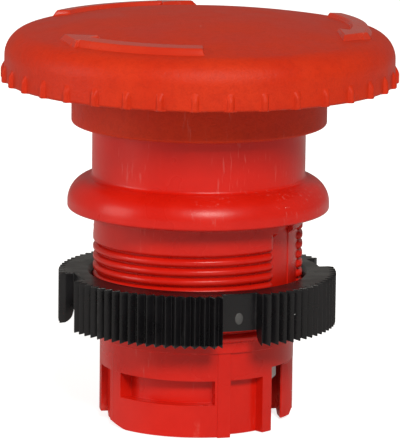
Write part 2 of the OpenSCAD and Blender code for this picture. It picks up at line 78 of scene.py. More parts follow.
# Head: dome, rim, underside, collar, inner sleeve, webs and the seat of the brass insert
RIM_R = high("mushroom_cap")[0] - RIB_OUT
HEAD_TOP = 20.2
RIM_LOW = 13.3
DOME_R = 98.0
SHOULDER_R = 2.65
SKIRT_R = RIM_R - 1.6
ROOF = 17.2
COLLAR_R = 13.24
COLLAR_BORE = 11.45
COLLAR_LOW = 8.94
SLEEVE_R = 6.4
SLEEVE_BORE = 4.6
SLEEVE_LOW = low("mushroom_cap")[2]
BOSS_LOW = 12.9
WEB_COUNT = 6
WEB_W = 1.2
WEB_LOW = 14.6
INSERT_BORE = 2.3
INSERT_R = 3.75
INSERT_LOW = 13.29
INSERT_TOP = 16.6

# Arrows: the top's outline, its height at the inner barb, and the widths of the walls round it
ARROW_H = 0.38
ARROW_RISE = 0.085
ARROW_IN = 15.75
ARROW_OUT = 17.2
BARB_IN = 14.7
BARB_OUT = 17.65
TIP_R = 16.4
TAIL_DEG = 0.8
BARB_DEG = -44.7
TIP_DEG = -56.6
STEEP_W = 0.25
SLOPE_W = 0.55
LEAD_W = 0.38
ARROW_SUNK = 0.05

# The stretch of dome that an arrow is made over, and its rows and columns
PATCH_R = (14.2, 18.9)
PATCH_DEG = (-60.5, 3.2)
PATCH_STEPS = (65, 235)

# Body: neck, flange, threaded barrel and its keyway, gasket groove and floor
NECK_R = 11.07
NECK_TOP = high("housing")[2]
BORE_R = 8.8
FLANGE_R = high("housing")[0]
FLANGE_ROUND = 2.6
FLANGE_SIDE = 0.75
PLAIN_LEN = 1.4
CREST_R = 10.9
ROOT_R = 10.4
PITCH = 1.0
CREST_COUNT = 12
THREAD_DEG = (80.0, 407.8)
PLAIN_FRONT_DEG = -94.0
PLAIN_FADE_DEG = 14
TURN_START_Z = -1.87
END_SWELL = 0.9
# A crest's outline: the share of its depth, and of its half width
CREST_PROFILE = (
    (-0.3, 0.8),
    (0.05, 0.96),
    (0.45, 0.78),
    (0.84, 0.54),
    (0.98, 0.3),
    (1.0, 0.0),
    (0.98, -0.3),
    (0.84, -0.54),
    (0.45, -0.78),
    (0.05, -0.96),
    (-0.3, -0.8),
)
THREAD_LOW = -PLAIN_LEN - CREST_COUNT * PITCH
KEY_DEG = (49.0, 64.0)
KEY_R = 10.3
KEY_TOP = -0.85
GASKET_R = (11.6, 13.0)
GASKET_H = 0.75
FLOOR_TOP = -13.0
LINES_TOP = -14.5

# Socket: the front half, which the rear half repeats
SOCKET_LOW = -22.2
RIB_LOW = low("housing")[2]
SOCKET_R = 10.1
CODE_RIB_R = 10.22
CODE_RIB_TOP = -13.2
CAVITY_R = 7.2
FLOOR_BORE = 6.26
FLOOR_LOW = -15.1
RECESS_R = 8.65
DEEP_R = 9.05
SIDE_R = 9.4
CAVITY_BY_SLOT_R = 8.9
RECESS_TOP = -16.3
POCKET_LOW = -18.85
POCKET_DEG = (-50.6, 11.2)
CODE_RIB_DEG = (12.7, 20.5)
DEEP_DEG = (20.5, 43.0)
SLOT_TOP = -15.5
SLOT_DEG = (50.7, 80.0)
SLOT_CAVITY_DEG = 100.0
# How far past the slot the leg is thinned, and the share of its thickness at the slot
SLOT_CHAMFER_DEG = 11.0
LEG_TIP_SHARE = 0.15
SIDE_DEG = (-77.5, -61.5)
SIDE_RISE_SHARE = 0.4
# How much the bore beside the slot narrows with each degree past it
LEG_BORE_SLOPE = 0.05
# How far the bottom edge is raised, by degrees on from the left side
BOTTOM_RISE = (
    (0, 0.85),
    (12.5, 0.85),
    (28.5, 0.6),
    (43, 0),
    (141, 0),
    (170, 0.2),
    (178, 0.3),
    (180, 0.85),
)

# Ring nut: knurled skirt, thinner disc between the grip notches, and bore
NUT_R = 14.5
TOOTH_DEPTH = 0.75
UNDER_ROUND = 1.4
TOOTH_COUNT = 90
NUT_TOP = high("ring_nut")[2]
NUT_LOW = low("ring_nut")[2]
DISC_LOW = NUT_LOW + 1.5
NUT_BORE = 10.98
NUT_MOUTH = 11.45
NOTCH_R = 13.0
NOTCH_DEG = 17.0
NOTCH_TURN = 19.3
NOTCH_COUNT = 4

# Foot
FOOT_LOW = low("plunger_foot")[2]
WING_TOP = -15.55
WING_R = 8.4
WING_W = 3.4
WING_EDGE = 0.6
CUP_R = 6.1
TUBE_LOW = -16.0
TUBE_R = 6.26
PLUG_R = (3.6, 5.15)
PLUG_TOP = high("plunger_foot")[2]
CUP_FLOOR = FOOT_LOW + 1.0

ROUND_COLUMNS = 240


# Shapes


def on_circle(radius, degrees):
    """A point at a radius and an angle, as x and y."""
    angle = math.radians(degrees)
    return radius * math.sin(angle), -radius * math.cos(angle)


def dome_height(radius):
    """Height of the head's skin over a radius, shoulder included."""
    centre = HEAD_TOP - DOME_R
    reach = RIM_R - SHOULDER_R
    shoulder = centre + math.sqrt((DOME_R - SHOULDER_R) ** 2 - reach**2)
    meeting = reach * DOME_R / (DOME_R - SHOULDER_R)
    if radius <= meeting:
        return centre + math.sqrt(DOME_R**2 - radius**2)
    return shoulder + math.sqrt(max(SHOULDER_R**2 - (radius - reach) ** 2, 0))


def rounded(corners, steps=5):
    """A closed outline from corners (r, z, fillet), with an arc at each corner that has a fillet."""
    outline = []
    count = len(corners)
    for i, (r, z, fillet) in enumerate(corners):
        here = Vector((r, z))
        if fillet <= 0:
            outline.append(here)
            continue
        back = Vector(corners[i - 1][:2]) - here
        on = Vector(corners[(i + 1) % count][:2]) - here
        half = back.angle(on) / 2
        back.normalize()
        on.normalize()
        set_back = fillet / math.tan(half)
        centre = here + (back + on).normalized() * (fillet / math.sin(half))
        start = here + back * set_back
        end = here + on * set_back
        outline.append(start + back * fillet * 0.3)
        first = start - centre
        sweep = first.angle_signed(end - centre)
        for k in range(steps + 1):
            turned_by = -sweep * k / steps
            c, s = math.cos(turned_by), math.sin(turned_by)
            outline.append(centre + Vector((first.x * c - first.y * s, first.x * s + first.y * c)))
        outline.append(end + on * fillet * 0.3)
    return [(p.x, p.y) for p in outline]


def new_mesh(name, points, faces, sharp_deg=50):
    """A smooth-shaded mesh in metres from points in millimetres, with its normals outwards."""
    shape = bmesh.new()
    vertices = [shape.verts.new([c * MM for c in p]) for p in points]
    for face in faces:
        shape.faces.new([vertices[i] for i in face])
    bmesh.ops.remove_doubles(shape, verts=shape.verts, dist=1e-7)
    bmesh.ops.recalc_face_normals(shape, faces=shape.faces)
    mesh = bpy.data.meshes.new(name)
    shape.to_mesh(mesh)
    shape.free()
    mesh.shade_smooth()
    mesh.set_sharp_from_angle(angle=math.radians(sharp_deg))
    return mesh


def turned(name, outline, angles=None, radius_at=None, sharp_deg=50):
    """A solid of revolution from a closed outline of (r, z). Points on the axis become poles."""
    if angles is None:
        angles = [360 * i / ROUND_COLUMNS for i in range(ROUND_COLUMNS)]
    points, rows = [], []
    for r, z in outline:
        if r < 1e-6:
            rows.append([len(points)])
            points.append((0, 0, z))
            continue
        rows.append(list(range(len(points), len(points) + len(angles))))
        for degrees in angles:
            radius = radius_at(r, z, degrees) if radius_at else r
            points.append((*on_circle(radius, degrees), z))
    faces = []
    count = len(angles)
    for row, after in zip(rows, rows[1:] + rows[:1]):
        if len(row) == 1 and len(after) == 1:
            continue
        for i in range(count):
            j = (i + 1) % count
            if len(row) == 1:
                faces.append((row[0], after[j], after[i]))
            elif len(after) == 1:
                faces.append((row[i], row[j], after[0]))
            else:
                faces.append((row[i], row[j], after[j], after[i]))
    return new_mesh(name, points, faces, sharp_deg)


def sheet_block(name, top, bottom, sharp_deg=50):
    """A closed block between two grids of points that match, top and bottom."""
    rows, columns = len(top), len(top[0])
    points = [p for row in top for p in row] + [p for row in bottom for p in row]
    under = rows * columns

    def index(i, j):
        return i * columns + j

    faces = []
    for i in range(rows - 1):
        for j in range(columns - 1):
            quad = (index(i, j), index(i, j + 1), index(i + 1, j + 1), index(i + 1, j))
            faces.append(quad)
            faces.append(tuple(under + q for q in reversed(quad)))
    rim = [index(0, j) for j in range(columns)]
    rim += [index(i, columns - 1) for i in range(1, rows)]
    rim += [index(rows - 1, j) for j in range(columns - 2, -1, -1)]
    rim += [index(i, 0) for i in range(rows - 2, 0, -1)]
    for a, b in zip(rim, rim[1:] + rim[:1]):
        faces.append((a, under + a, under + b, b))
    return new_mesh(name, points, faces, sharp_deg)


def ring_blocks(name, radii, heights, angles, solid, move=None):
    """The skin of a solid made of blocks between steps of radius, height and angle."""
    columns = len(angles)
    kept = {
        (i, j, k)
        for i in range(len(radii) - 1)
        for j in range(len(heights) - 1)
        for k in range(columns)
        if solid(
            (radii[i] + radii[i + 1]) / 2,
            (heights[j] + heights[j + 1]) / 2,
            (angles[k] + (angles[(k + 1) % columns] - angles[k]) % 360 / 2),
        )
    }
    numbers, points, faces = {}, [], []

    def corner(i, j, k):
        key = (i, j, k % columns)
        if key not in numbers:
            numbers[key] = len(points)
            r, z = radii[i], heights[j]
            if move:
                r, z = move(r, z, angles[k % columns])
            points.append((*on_circle(r, angles[k % columns]), z))
        return numbers[key]

    sides = (
        ((1, 0, 0), ((1, 0, 0), (1, 0, 1), (1, 1, 1), (1, 1, 0))),
        ((-1, 0, 0), ((0, 0, 0), (0, 1, 0), (0, 1, 1), (0, 0, 1))),
        ((0, 1, 0), ((0, 1, 0), (1, 1, 0), (1, 1, 1), (0, 1, 1))),
        ((0, -1, 0), ((0, 0, 0), (0, 0, 1), (1, 0, 1), (1, 0, 0))),
        ((0, 0, 1), ((0, 0, 1), (0, 1, 1), (1, 1, 1), (1, 0, 1))),
        ((0, 0, -1), ((0, 0, 0), (1, 0, 0), (1, 1, 0), (0, 1, 0))),
    )
    for i, j, k in sorted(kept):
        for (di, dj, dk), quad in sides:
            if (i + di, j + dj, (k + dk) % columns) not in kept:
                faces.append([corner(i + a, j + b, k + c) for a, b, c in quad])
    return new_mesh(name, points, faces)


def even_angles(breaks, step):
    """Angles round a full circle that hold every break, at most a step apart."""
    marks = sorted({round(b % 360, 4) for b in breaks})
    angles = []
    for a, b in zip(marks, marks[1:] + [marks[0] + 360]):
        parts = max(1, math.ceil((b - a) / step - 1e-6))
        angles += [a + (b - a) * i / parts for i in range(parts)]
    return angles


def between(degrees, limits):
    """Whether an angle lies between two limits, going round."""
    return (degrees - limits[0]) % 360 < (limits[1] - limits[0]) % 360


# Geometry Nodes


def make_tree(name, inputs):
    """A Geometry Nodes tree with its named inputs, and its input and output nodes."""
    tree = bpy.data.node_groups.new(name, "GeometryNodeTree")
    tree.interface.new_socket("Geometry", in_out="INPUT", socket_type="NodeSocketGeometry")
    for label, kind, value in inputs:
        socket = tree.interface.new_socket(label, in_out="INPUT", socket_type="NodeSocket" + kind)
        if value is not None:
            socket.default_value = value
    tree.interface.new_socket("Geometry", in_out="OUTPUT", socket_type="NodeSocketGeometry")
    given = tree.nodes.new("NodeGroupInput")
    result = tree.nodes.new("NodeGroupOutput")
    return tree, given, result


def calc(tree, operation, *values, clamp=False):
    """A Math node in a tree; each value is a number or a socket. Returns its output."""
    node = tree.nodes.new("ShaderNodeMath")
    node.operation = operation
    node.use_clamp = clamp
    for socket, value in zip(node.inputs, values):
        if isinstance(value, (int, float)):
            socket.default_value = value
        else:
            tree.links.new(value, socket)
    return node.outputs[0]


def split_xyz(tree, vector):
    """The X, Y and Z outputs of a vector."""
    node = tree.nodes.new("ShaderNodeSeparateXYZ")
    tree.links.new(vector, node.inputs[0])
    return node.outputs


def join_xyz(tree, **parts):
    """A vector from sockets for X, Y and Z, where one left out is 0."""
    node = tree.nodes.new("ShaderNodeCombineXYZ")
    for label, socket in parts.items():
        tree.links.new(socket, node.inputs[label])
    return node.outputs[0]


def front_angle(tree, parts):
    """The angle from the front, in radians, of a place's X and Y."""
    behind = calc(tree, "MULTIPLY", parts["Y"], -1.0)
    return calc(tree, "ARCTAN2", parts["X"], behind)


def finish_tree(tree, geometry, given, result):
    """Ends a tree in Realize Instances and Set Material."""
    realize = tree.nodes.new("GeometryNodeRealizeInstances")
    coat = tree.nodes.new("GeometryNodeSetMaterial")
    tree.links.new(geometry, realize.inputs["Geometry"])
    tree.links.new(realize.outputs["Geometry"], coat.inputs["Geometry"])
    tree.links.new(given.outputs["Finish"], coat.inputs["Material"])
    tree.links.new(coat.outputs["Geometry"], result.inputs["Geometry"])


def repeat_tree():
    """Repeats a shape round the axis, down it, or both."""
    inputs = (
        ("Count", "Int", 1),
        ("First Angle", "Float", 0.0),
        ("Turn", "Float", 0.0),
        ("Rise", "Float", 0.0),
        ("Finish", "Material", None),
    )
    tree, given, result = make_tree("repeat_round_axis", inputs)
    line = tree.nodes.new("GeometryNodeMeshLine")
    line.inputs["Start Location"].default_value = (0, 0, 0)
    tree.links.new(given.outputs["Count"], line.inputs["Count"])
    tree.links.new(join_xyz(tree, Z=given.outputs["Rise"]), line.inputs["Offset"])
    index = tree.nodes.new("GeometryNodeInputIndex")
    first, turn = given.outputs["First Angle"], given.outputs["Turn"]
    angle = calc(tree, "MULTIPLY_ADD", index.outputs[0], turn, first)
    rotation = tree.nodes.new("FunctionNodeEulerToRotation")
    tree.links.new(join_xyz(tree, Z=angle), rotation.inputs[0])
    instance = tree.nodes.new("GeometryNodeInstanceOnPoints")
    tree.links.new(line.outputs["Mesh"], instance.inputs["Points"])
    tree.links.new(given.outputs["Geometry"], instance.inputs["Instance"])
    tree.links.new(rotation.outputs[0], instance.inputs["Rotation"])
    finish_tree(tree, instance.outputs["Instances"], given, result)
    return tree


def coil_tree():
    """A coil spring with closed ends, wound up the Z axis."""
    inputs = (
        ("Turns", "Float", 5.0),
        ("Coil Radius", "Float", 0.007),
        ("Wire Radius", "Float", 0.0003),
        ("Low", "Float", 0.0),
        ("High", "Float", 0.01),
        ("Closed Ends", "Float", 0.5),
        ("Finish", "Material", None),
    )
    tree, given, result = make_tree("wound_coil", inputs)
    line = tree.nodes.new("GeometryNodeCurvePrimitiveLine")
    resample = tree.nodes.new("GeometryNodeResampleCurve")
    resample.inputs["Count"].default_value = 420
    tree.links.new(line.outputs[0], resample.inputs["Curve"])
    along = tree.nodes.new("GeometryNodeSplineParameter").outputs["Factor"]
    full_turns = calc(tree, "MULTIPLY", given.outputs["Turns"], math.tau)
    angle = calc(tree, "MULTIPLY", along, full_turns)
    eased = tree.nodes.new("ShaderNodeMapRange")
    eased.interpolation_type = "SMOOTHERSTEP"
    tree.links.new(along, eased.inputs["Value"])
    straight = calc(tree, "SUBTRACT", 1.0, given.outputs["Closed Ends"])
    even = calc(tree, "MULTIPLY", along, straight)
    share = calc(tree, "MULTIPLY_ADD", eased.outputs[0], given.outputs["Closed Ends"], even)
    bottom = calc(tree, "ADD", given.outputs["Low"], given.outputs["Wire Radius"])
    top = calc(tree, "SUBTRACT", given.outputs["High"], given.outputs["Wire Radius"])
    length = calc(tree, "SUBTRACT", top, bottom)
    x = calc(tree, "MULTIPLY", calc(tree, "COSINE", angle), given.outputs["Coil Radius"])
    y = calc(tree, "MULTIPLY", calc(tree, "SINE", angle), given.outputs["Coil Radius"])
    place = join_xyz(tree, X=x, Y=y, Z=calc(tree, "MULTIPLY_ADD", share, length, bottom))
    wind = tree.nodes.new("GeometryNodeSetPosition")
    tree.links.new(resample.outputs[0], wind.inputs["Geometry"])
    tree.links.new(place, wind.inputs["Position"])
    wire = tree.nodes.new("GeometryNodeCurvePrimitiveCircle")
    wire.inputs["Resolution"].default_value = 16
    tree.links.new(given.outputs["Wire Radius"], wire.inputs["Radius"])
    swept = tree.nodes.new("GeometryNodeCurveToMesh")
    swept.inputs["Fill Caps"].default_value = True
    tree.links.new(wind.outputs[0], swept.inputs["Curve"])
    tree.links.new(wire.outputs[0], swept.inputs["Profile Curve"])
    finish_tree(tree, swept.outputs[0], given, result)
    return tree


def knurl_tree():
    """Presses V grooves into a round blank's skirt, and rounds the skirt's underside."""
    inputs = (
        ("Teeth", "Float", 90.0),
        ("Depth", "Float", 0.0005),
        ("Inner Radius", "Float", 0.013),
        ("Outer Radius", "Float", 0.0145),
        ("First Tooth", "Float", 0.0),
        ("Low", "Float", -0.012),
        ("Under Round", "Float", 0.001),
        ("Finish", "Material", None),
    )
    tree, given, result = make_tree("press_knurl", inputs)
    place = tree.nodes.new("GeometryNodeInputPosition")
    parts = split_xyz(tree, place.outputs[0])
    flat = join_xyz(tree, X=parts["X"], Y=parts["Y"])
    length = tree.nodes.new("ShaderNodeVectorMath")
    length.operation = "LENGTH"
    tree.links.new(flat, length.inputs[0])
    outwards = tree.nodes.new("ShaderNodeVectorMath")
    outwards.operation = "NORMALIZE"
    tree.links.new(flat, outwards.inputs[0])
    from_first = calc(tree, "SUBTRACT", front_angle(tree, parts), given.outputs["First Tooth"])
    around = calc(tree, "MULTIPLY", from_first, 1 / math.tau)
    wave = calc(tree, "PINGPONG", calc(tree, "MULTIPLY", around, given.outputs["Teeth"]), 0.5)
    skirt = calc(tree, "SUBTRACT", given.outputs["Outer Radius"], given.outputs["Inner Radius"])
    past = calc(tree, "SUBTRACT", length.outputs["Value"], given.outputs["Inner Radius"])
    share = calc(tree, "DIVIDE", past, skirt, clamp=True)
    depth = calc(tree, "MULTIPLY", calc(tree, "MULTIPLY", wave, 2.0), given.outputs["Depth"])
    radius = calc(tree, "SUBTRACT", length.outputs["Value"], calc(tree, "MULTIPLY", depth, share))
    inwards = calc(tree, "DIVIDE", calc(tree, "SUBTRACT", given.outputs["Outer Radius"], radius), skirt)
    arch = calc(tree, "SQRT", calc(tree, "SUBTRACT", 1.0, calc(tree, "MULTIPLY", inwards, inwards)))
    lift = calc(tree, "MULTIPLY", calc(tree, "SUBTRACT", 1.0, arch), given.outputs["Under Round"])
    underside = calc(tree, "ADD", given.outputs["Low"], lift)
    placed = tree.nodes.new("ShaderNodeVectorMath")
    placed.operation = "SCALE"
    tree.links.new(outwards.outputs[0], placed.inputs[0])
    tree.links.new(radius, placed.inputs["Scale"])
    apart = split_xyz(tree, placed.outputs[0])
    raised = calc(tree, "MAXIMUM", parts["Z"], underside)
    target = join_xyz(tree, X=apart["X"], Y=apart["Y"], Z=raised)
    wall = calc(tree, "GREATER_THAN", past, -1e-6)
    move = tree.nodes.new("GeometryNodeSetPosition")
    tree.links.new(given.outputs["Geometry"], move.inputs["Geometry"])
    tree.links.new(wall, move.inputs["Selection"])
    tree.links.new(target, move.inputs["Position"])
    finish_tree(tree, move.outputs[0], given, result)
    return tree


def grown(tree, mesh, finish, **values):
    """The plain mesh that a tree makes from a mesh with these values for its inputs."""
    holder = bpy.data.objects.new("holder", mesh)
    bpy.context.scene.collection.objects.link(holder)
    modifier = holder.modifiers.new("grow", "NODES")
    modifier.node_group = tree
    values["Finish"] = finish
    for item in tree.interface.items_tree:
        label = item.name.replace(" ", "_")
        if item.in_out == "INPUT" and label in values:
            modifier[item.identifier] = values[label]
    holder.update_tag()
    evaluated = holder.evaluated_get(bpy.context.evaluated_depsgraph_get())
    made = bpy.data.meshes.new_from_object(evaluated)
    holder.modifiers.remove(modifier)
    bpy.data.objects.remove(holder)
    return made


def piece(name, meshes, finish, body, stands_for=(), bevel=0.0):
    """One finished piece from one or more meshes, riding on its body."""
    objects = []
    for mesh in meshes:
        obj = bpy.data.objects.new(name, mesh)
        bpy.context.scene.collection.objects.link(obj)
        mesh.materials.clear()
        mesh.materials.append(finish)
        objects.append(obj)
    whole = objects[0]
    if len(objects) > 1:
        with bpy.context.temp_override(active_object=whole, selected_editable_objects=objects):
            bpy.ops.object.join()
    whole.name = name
    whole.data.name = name
    if bevel > 0:
        edge = whole.modifiers.new("edge radius", "BEVEL")
        edge.width = bevel * MM
        edge.segments = 3
        edge.limit_method = "ANGLE"
        edge.angle_limit = math.radians(32)
        edge.miter_outer = "MITER_ARC"
        even = whole.modifiers.new("even shading", "WEIGHTED_NORMAL")
        even.keep_sharp = True
        for polygon in whole.data.polygons:
            polygon.use_smooth = True
        if "sharp_edge" in whole.data.attributes:
            whole.data.attributes.remove(whole.data.attributes["sharp_edge"])
    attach(whole, body)
    for node in stands_for:
        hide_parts(node)
    return whole


# Material effects


def make_group(name, inputs, outputs):
    """A shader node group with named inputs and outputs."""
    group = bpy.data.node_groups.new(name, "ShaderNodeTree")
    for label, kind, value in inputs:
        socket = group.interface.new_socket(label, in_out="INPUT", socket_type="NodeSocket" + kind)
        socket.default_value = value
    for label, kind in outputs:
        group.interface.new_socket(label, in_out="OUTPUT", socket_type="NodeSocket" + kind)
    return group, group.nodes.new("NodeGroupInput"), group.nodes.new("NodeGroupOutput")


def noise(tree, where, scale, detail=2.0, roughness=0.5):
    """A Noise Texture's factor; scale is a number or a socket."""
    node = tree.nodes.new("ShaderNodeTexNoise")
    node.inputs["Detail"].default_value = detail
    node.inputs["Roughness"].default_value = roughness
    tree.links.new(where, node.inputs["Vector"])
    if isinstance(scale, (int, float)):
        node.inputs["Scale"].default_value = scale
    else:
        tree.links.new(scale, node.inputs["Scale"])
    return node.outputs["Fac"]


def ramp(tree, value, start, end, low_value=0.0, high_value=1.0):
    """A clamped Map Range of a value."""
    node = tree.nodes.new("ShaderNodeMapRange")
    node.interpolation_type = "SMOOTHSTEP"
    for label, number in (
        ("From Min", start),
        ("From Max", end),
        ("To Min", low_value),
        ("To Max", high_value),
    ):
        if isinstance(number, (int, float)):
            node.inputs[label].default_value = number
        else:
            tree.links.new(number, node.inputs[label])
    tree.links.new(value, node.inputs["Value"])
    return node.outputs["Result"]


def blend_colour(tree, share, first, second):
    """Two colours mixed by a share; each is a tuple or a socket."""
    node = tree.nodes.new("ShaderNodeMix")
    node.data_type = "RGBA"
    for socket, value in ((node.inputs["Factor"], share), (node.inputs[6], first), (node.inputs[7], second)):
        if isinstance(value, (tuple, float)):
            socket.default_value = value
        else:
            tree.links.new(value, socket)
    return node.outputs[2]


def bump(tree, height, strength, distance, normal=None):
    """A Bump node's normal from a height socket."""
    node = tree.nodes.new("ShaderNodeBump")
    node.inputs["Strength"].default_value = strength
    node.inputs["Distance"].default_value = distance
    tree.links.new(height, node.inputs["Height"])
    if normal is not None:
        tree.links.new(normal, node.inputs["Normal"])
    return node.outputs["Normal"]


def moulded_skin_group():
    """Fine spark-eroded grain with slow waves of gloss, as on moulded plastic."""
    group, given, result = make_group(
        "moulded_skin",
        (
            ("Vector", "Vector", (0, 0, 0)),
            ("Grain Scale", "Float", 9000.0),
            ("Cloud Scale", "Float", 180.0),
        ),
        (("Grain", "Float"), ("Clouds", "Float")),
    )
    where = given.outputs["Vector"]
    fine = noise(group, where, given.outputs["Grain Scale"], 2.0, 0.6)
    coarse_scale = calc(group, "MULTIPLY", given.outputs["Grain Scale"], 0.31)
    coarse = noise(group, where, coarse_scale, 1.0, 0.5)
    grain = calc(group, "MULTIPLY_ADD", coarse, 0.45, calc(group, "MULTIPLY", fine, 0.55))
    clouds = noise(group, where, given.outputs["Cloud Scale"], 3.0, 0.6)
    group.links.new(grain, result.inputs["Grain"])
    group.links.new(ramp(group, clouds, 0.3, 0.7), result.inputs["Clouds"])
    return group


def edge_wear_group():
    """A mask of rubbed edges, broken up by noise."""
    group, given, result = make_group(
        "edge_wear",
        (
            ("Vector", "Vector", (0, 0, 0)),
            ("Reach", "Float", 0.03),
            ("Patch Scale", "Float", 900.0),
            ("Amount", "Float", 0.5),
        ),
        (("Wear", "Float"),),
    )
    geometry = group.nodes.new("ShaderNodeNewGeometry")
    start = calc(group, "ADD", given.outputs["Reach"], 0.5)
    end = calc(group, "ADD", start, 0.05)
    edge = ramp(group, geometry.outputs["Pointiness"], start, end)
    clouds = noise(group, given.outputs["Vector"], given.outputs["Patch Scale"], 4.0, 0.7)
    rubbed = calc(group, "MULTIPLY", edge, ramp(group, clouds, 0.45, 0.62))
    worn = calc(group, "MULTIPLY", rubbed, given.outputs["Amount"], clamp=True)
    group.links.new(worn, result.inputs["Wear"])
    return group


def specks_group():
    """Small pale specks of dust and lint, sparse and uneven."""
    group, given, result = make_group(
        "specks",
        (
            ("Vector", "Vector", (0, 0, 0)),
            ("Scale", "Float", 1500.0),
            ("Size", "Float", 0.12),
            ("Share", "Float", 0.1),
        ),
        (("Specks", "Float"),),
    )
    cells = group.nodes.new("ShaderNodeTexVoronoi")
    group.links.new(given.outputs["Vector"], cells.inputs["Vector"])
    group.links.new(given.outputs["Scale"], cells.inputs["Scale"])
    near = calc(group, "LESS_THAN", cells.outputs["Distance"], given.outputs["Size"])
    split = group.nodes.new("ShaderNodeSeparateColor")
    group.links.new(cells.outputs["Color"], split.inputs[0])
    chosen = calc(group, "LESS_THAN", split.outputs[0], given.outputs["Share"])
    group.links.new(calc(group, "MULTIPLY", near, chosen), result.inputs["Specks"])
    return group


def fine_scratches_group():
    """Faint pale hairlines along the axis, in patches, below the head's rim."""
    group, given, result = make_group(
        "fine_scratches",
        (("Vector", "Vector", (0, 0, 0)), ("Scale", "Float", 3000.0), ("Amount", "Float", 0.3)),
        (("Scratches", "Float"),),
    )
    stretch = group.nodes.new("ShaderNodeMapping")
    stretch.inputs["Scale"].default_value = (1, 1, 0.1)
    stretch.inputs["Rotation"].default_value = (0.12, 0.2, 0)
    group.links.new(given.outputs["Vector"], stretch.inputs["Vector"])
    lines = ramp(group, noise(group, stretch.outputs[0], given.outputs["Scale"], 2.0, 0.7), 0.6, 0.68)
    patches = ramp(group, noise(group, given.outputs["Vector"], 130.0, 2.0), 0.5, 0.65)
    height = split_xyz(group, given.outputs["Vector"])["Z"]
    below = ramp(group, height, RIM_LOW * MM, (RIM_LOW - 0.5) * MM)
    faded = calc(group, "MULTIPLY", calc(group, "MULTIPLY", lines, patches), below)
    total = calc(group, "MULTIPLY", faded, given.outputs["Amount"])
    group.links.new(total, result.inputs["Scratches"])
    return group


def place_group(tree, group, where, **values):
    """Puts a node group in a material, reading a place, with its own values."""
    node = tree.nodes.new("ShaderNodeGroup")
    node.node_tree = group
    tree.links.new(where, node.inputs["Vector"])
    for label, value in values.items():
        node.inputs[label.replace("_", " ")].default_value = value
    return node.outputs


def new_material(name, **settings):
    """A material, its tree, its shader with these settings, and the Object coordinates."""
    material = bpy.data.materials.new(name)
    material.use_nodes = True
    tree = material.node_tree
    shader = tree.nodes["Principled BSDF"]
    for label, value in settings.items():
        shader.inputs[label.replace("_", " ")].default_value = value
    where = tree.nodes.new("ShaderNodeTexCoord").outputs["Object"]
    return material, tree, shader, where


def parting_lines(tree, where, degrees, width):
    """A thin line along the socket at each of these angles, as a mask."""
    parts = split_xyz(tree, where)
    angle = front_angle(tree, parts)
    total = None
    for value in degrees:
        away = calc(tree, "ABSOLUTE", calc(tree, "SUBTRACT", angle, math.radians(value)))
        line = ramp(tree, away, 0.0, width / SOCKET_R, 1.0, 0.0)
        total = line if total is None else calc(tree, "MAXIMUM", total, line)
    below = ramp(tree, parts["Z"], LINES_TOP * MM, (LINES_TOP + 1) * MM, 1.0, 0.0)
    return calc(tree, "MULTIPLY", total, below)


def red_plastic(name, colour, deep, roughness, shine, grain_depth, lines=()):
    """Satin red moulded plastic with fine grain, rubbed edges, pale scuffs and dust."""
    material, tree, shader, where = new_material(name, IOR=1.5, Specular_IOR_Level=shine)
    skin = place_group(tree, moulded_skin, where, Grain_Scale=5200.0, Cloud_Scale=160.0)
    wear = place_group(tree, edge_wear, where, Reach=0.06, Patch_Scale=700.0, Amount=0.15)["Wear"]
    dust = place_group(tree, specks, where, Scale=900.0, Size=0.05, Share=0.04)["Specks"]
    smooth = blend_colour(tree, skin["Clouds"], deep, colour)
    darker = tuple(c * 0.72 for c in deep[:3]) + (1.0,)
    pits = ramp(tree, skin["Grain"], 0.3, 0.6, 0.35 * grain_depth, 0.0)
    base = blend_colour(tree, pits, smooth, darker)
    scuffed = blend_colour(tree, wear, base, RUBBED_RED)
    hairs = place_group(tree, fine_scratches, where, Amount=0.09)["Scratches"]
    marks = calc(tree, "MAXIMUM", dust, hairs)
    dusty = blend_colour(tree, marks, scuffed, PALE_MARK)
    tree.links.new(dusty, shader.inputs["Base Color"])
    uneven = ramp(tree, skin["Clouds"], 0.0, 1.0, roughness - 0.04, roughness + 0.05)
    tree.links.new(calc(tree, "MULTIPLY_ADD", wear, 0.2, uneven), shader.inputs["Roughness"])
    normal = bump(tree, skin["Grain"], grain_depth, 0.00006)
    if lines:
        normal = bump(tree, parting_lines(tree, where, lines, 0.09), 0.6, 0.00005, normal)
    tree.links.new(normal, shader.inputs["Normal"])
    return material


def black_plastic(name, colour, roughness, shine, grain_depth, dust_share):
    """Satin black moulded plastic with grain, greyed edges and light dust."""
    material, tree, shader, where = new_material(name, IOR=1.5, Specular_IOR_Level=shine)
    skin = place_group(tree, moulded_skin, where, Grain_Scale=6000.0, Cloud_Scale=220.0)
    wear = place_group(tree, edge_wear, where, Reach=0.06, Patch_Scale=1100.0, Amount=0.08)["Wear"]
    dust = place_group(tree, specks, where, Scale=1300.0, Size=0.08, Share=dust_share)["Specks"]
    lighter = tuple(c * 1.5 for c in colour[:3]) + (1.0,)
    base = blend_colour(tree, skin["Clouds"], colour, lighter)
    greyed = blend_colour(tree, wear, base, RUBBED_BLACK)
    dusty = blend_colour(tree, dust, greyed, GREY_DUST)
    tree.links.new(dusty, shader.inputs["Base Color"])
    uneven = ramp(tree, skin["Clouds"], 0.0, 1.0, roughness - 0.05, roughness + 0.06)
    tree.links.new(calc(tree, "MULTIPLY_ADD", dust, 0.4, uneven), shader.inputs["Roughness"])
    tree.links.new(bump(tree, skin["Grain"], grain_depth, 0.00006), shader.inputs["Normal"])
    return material


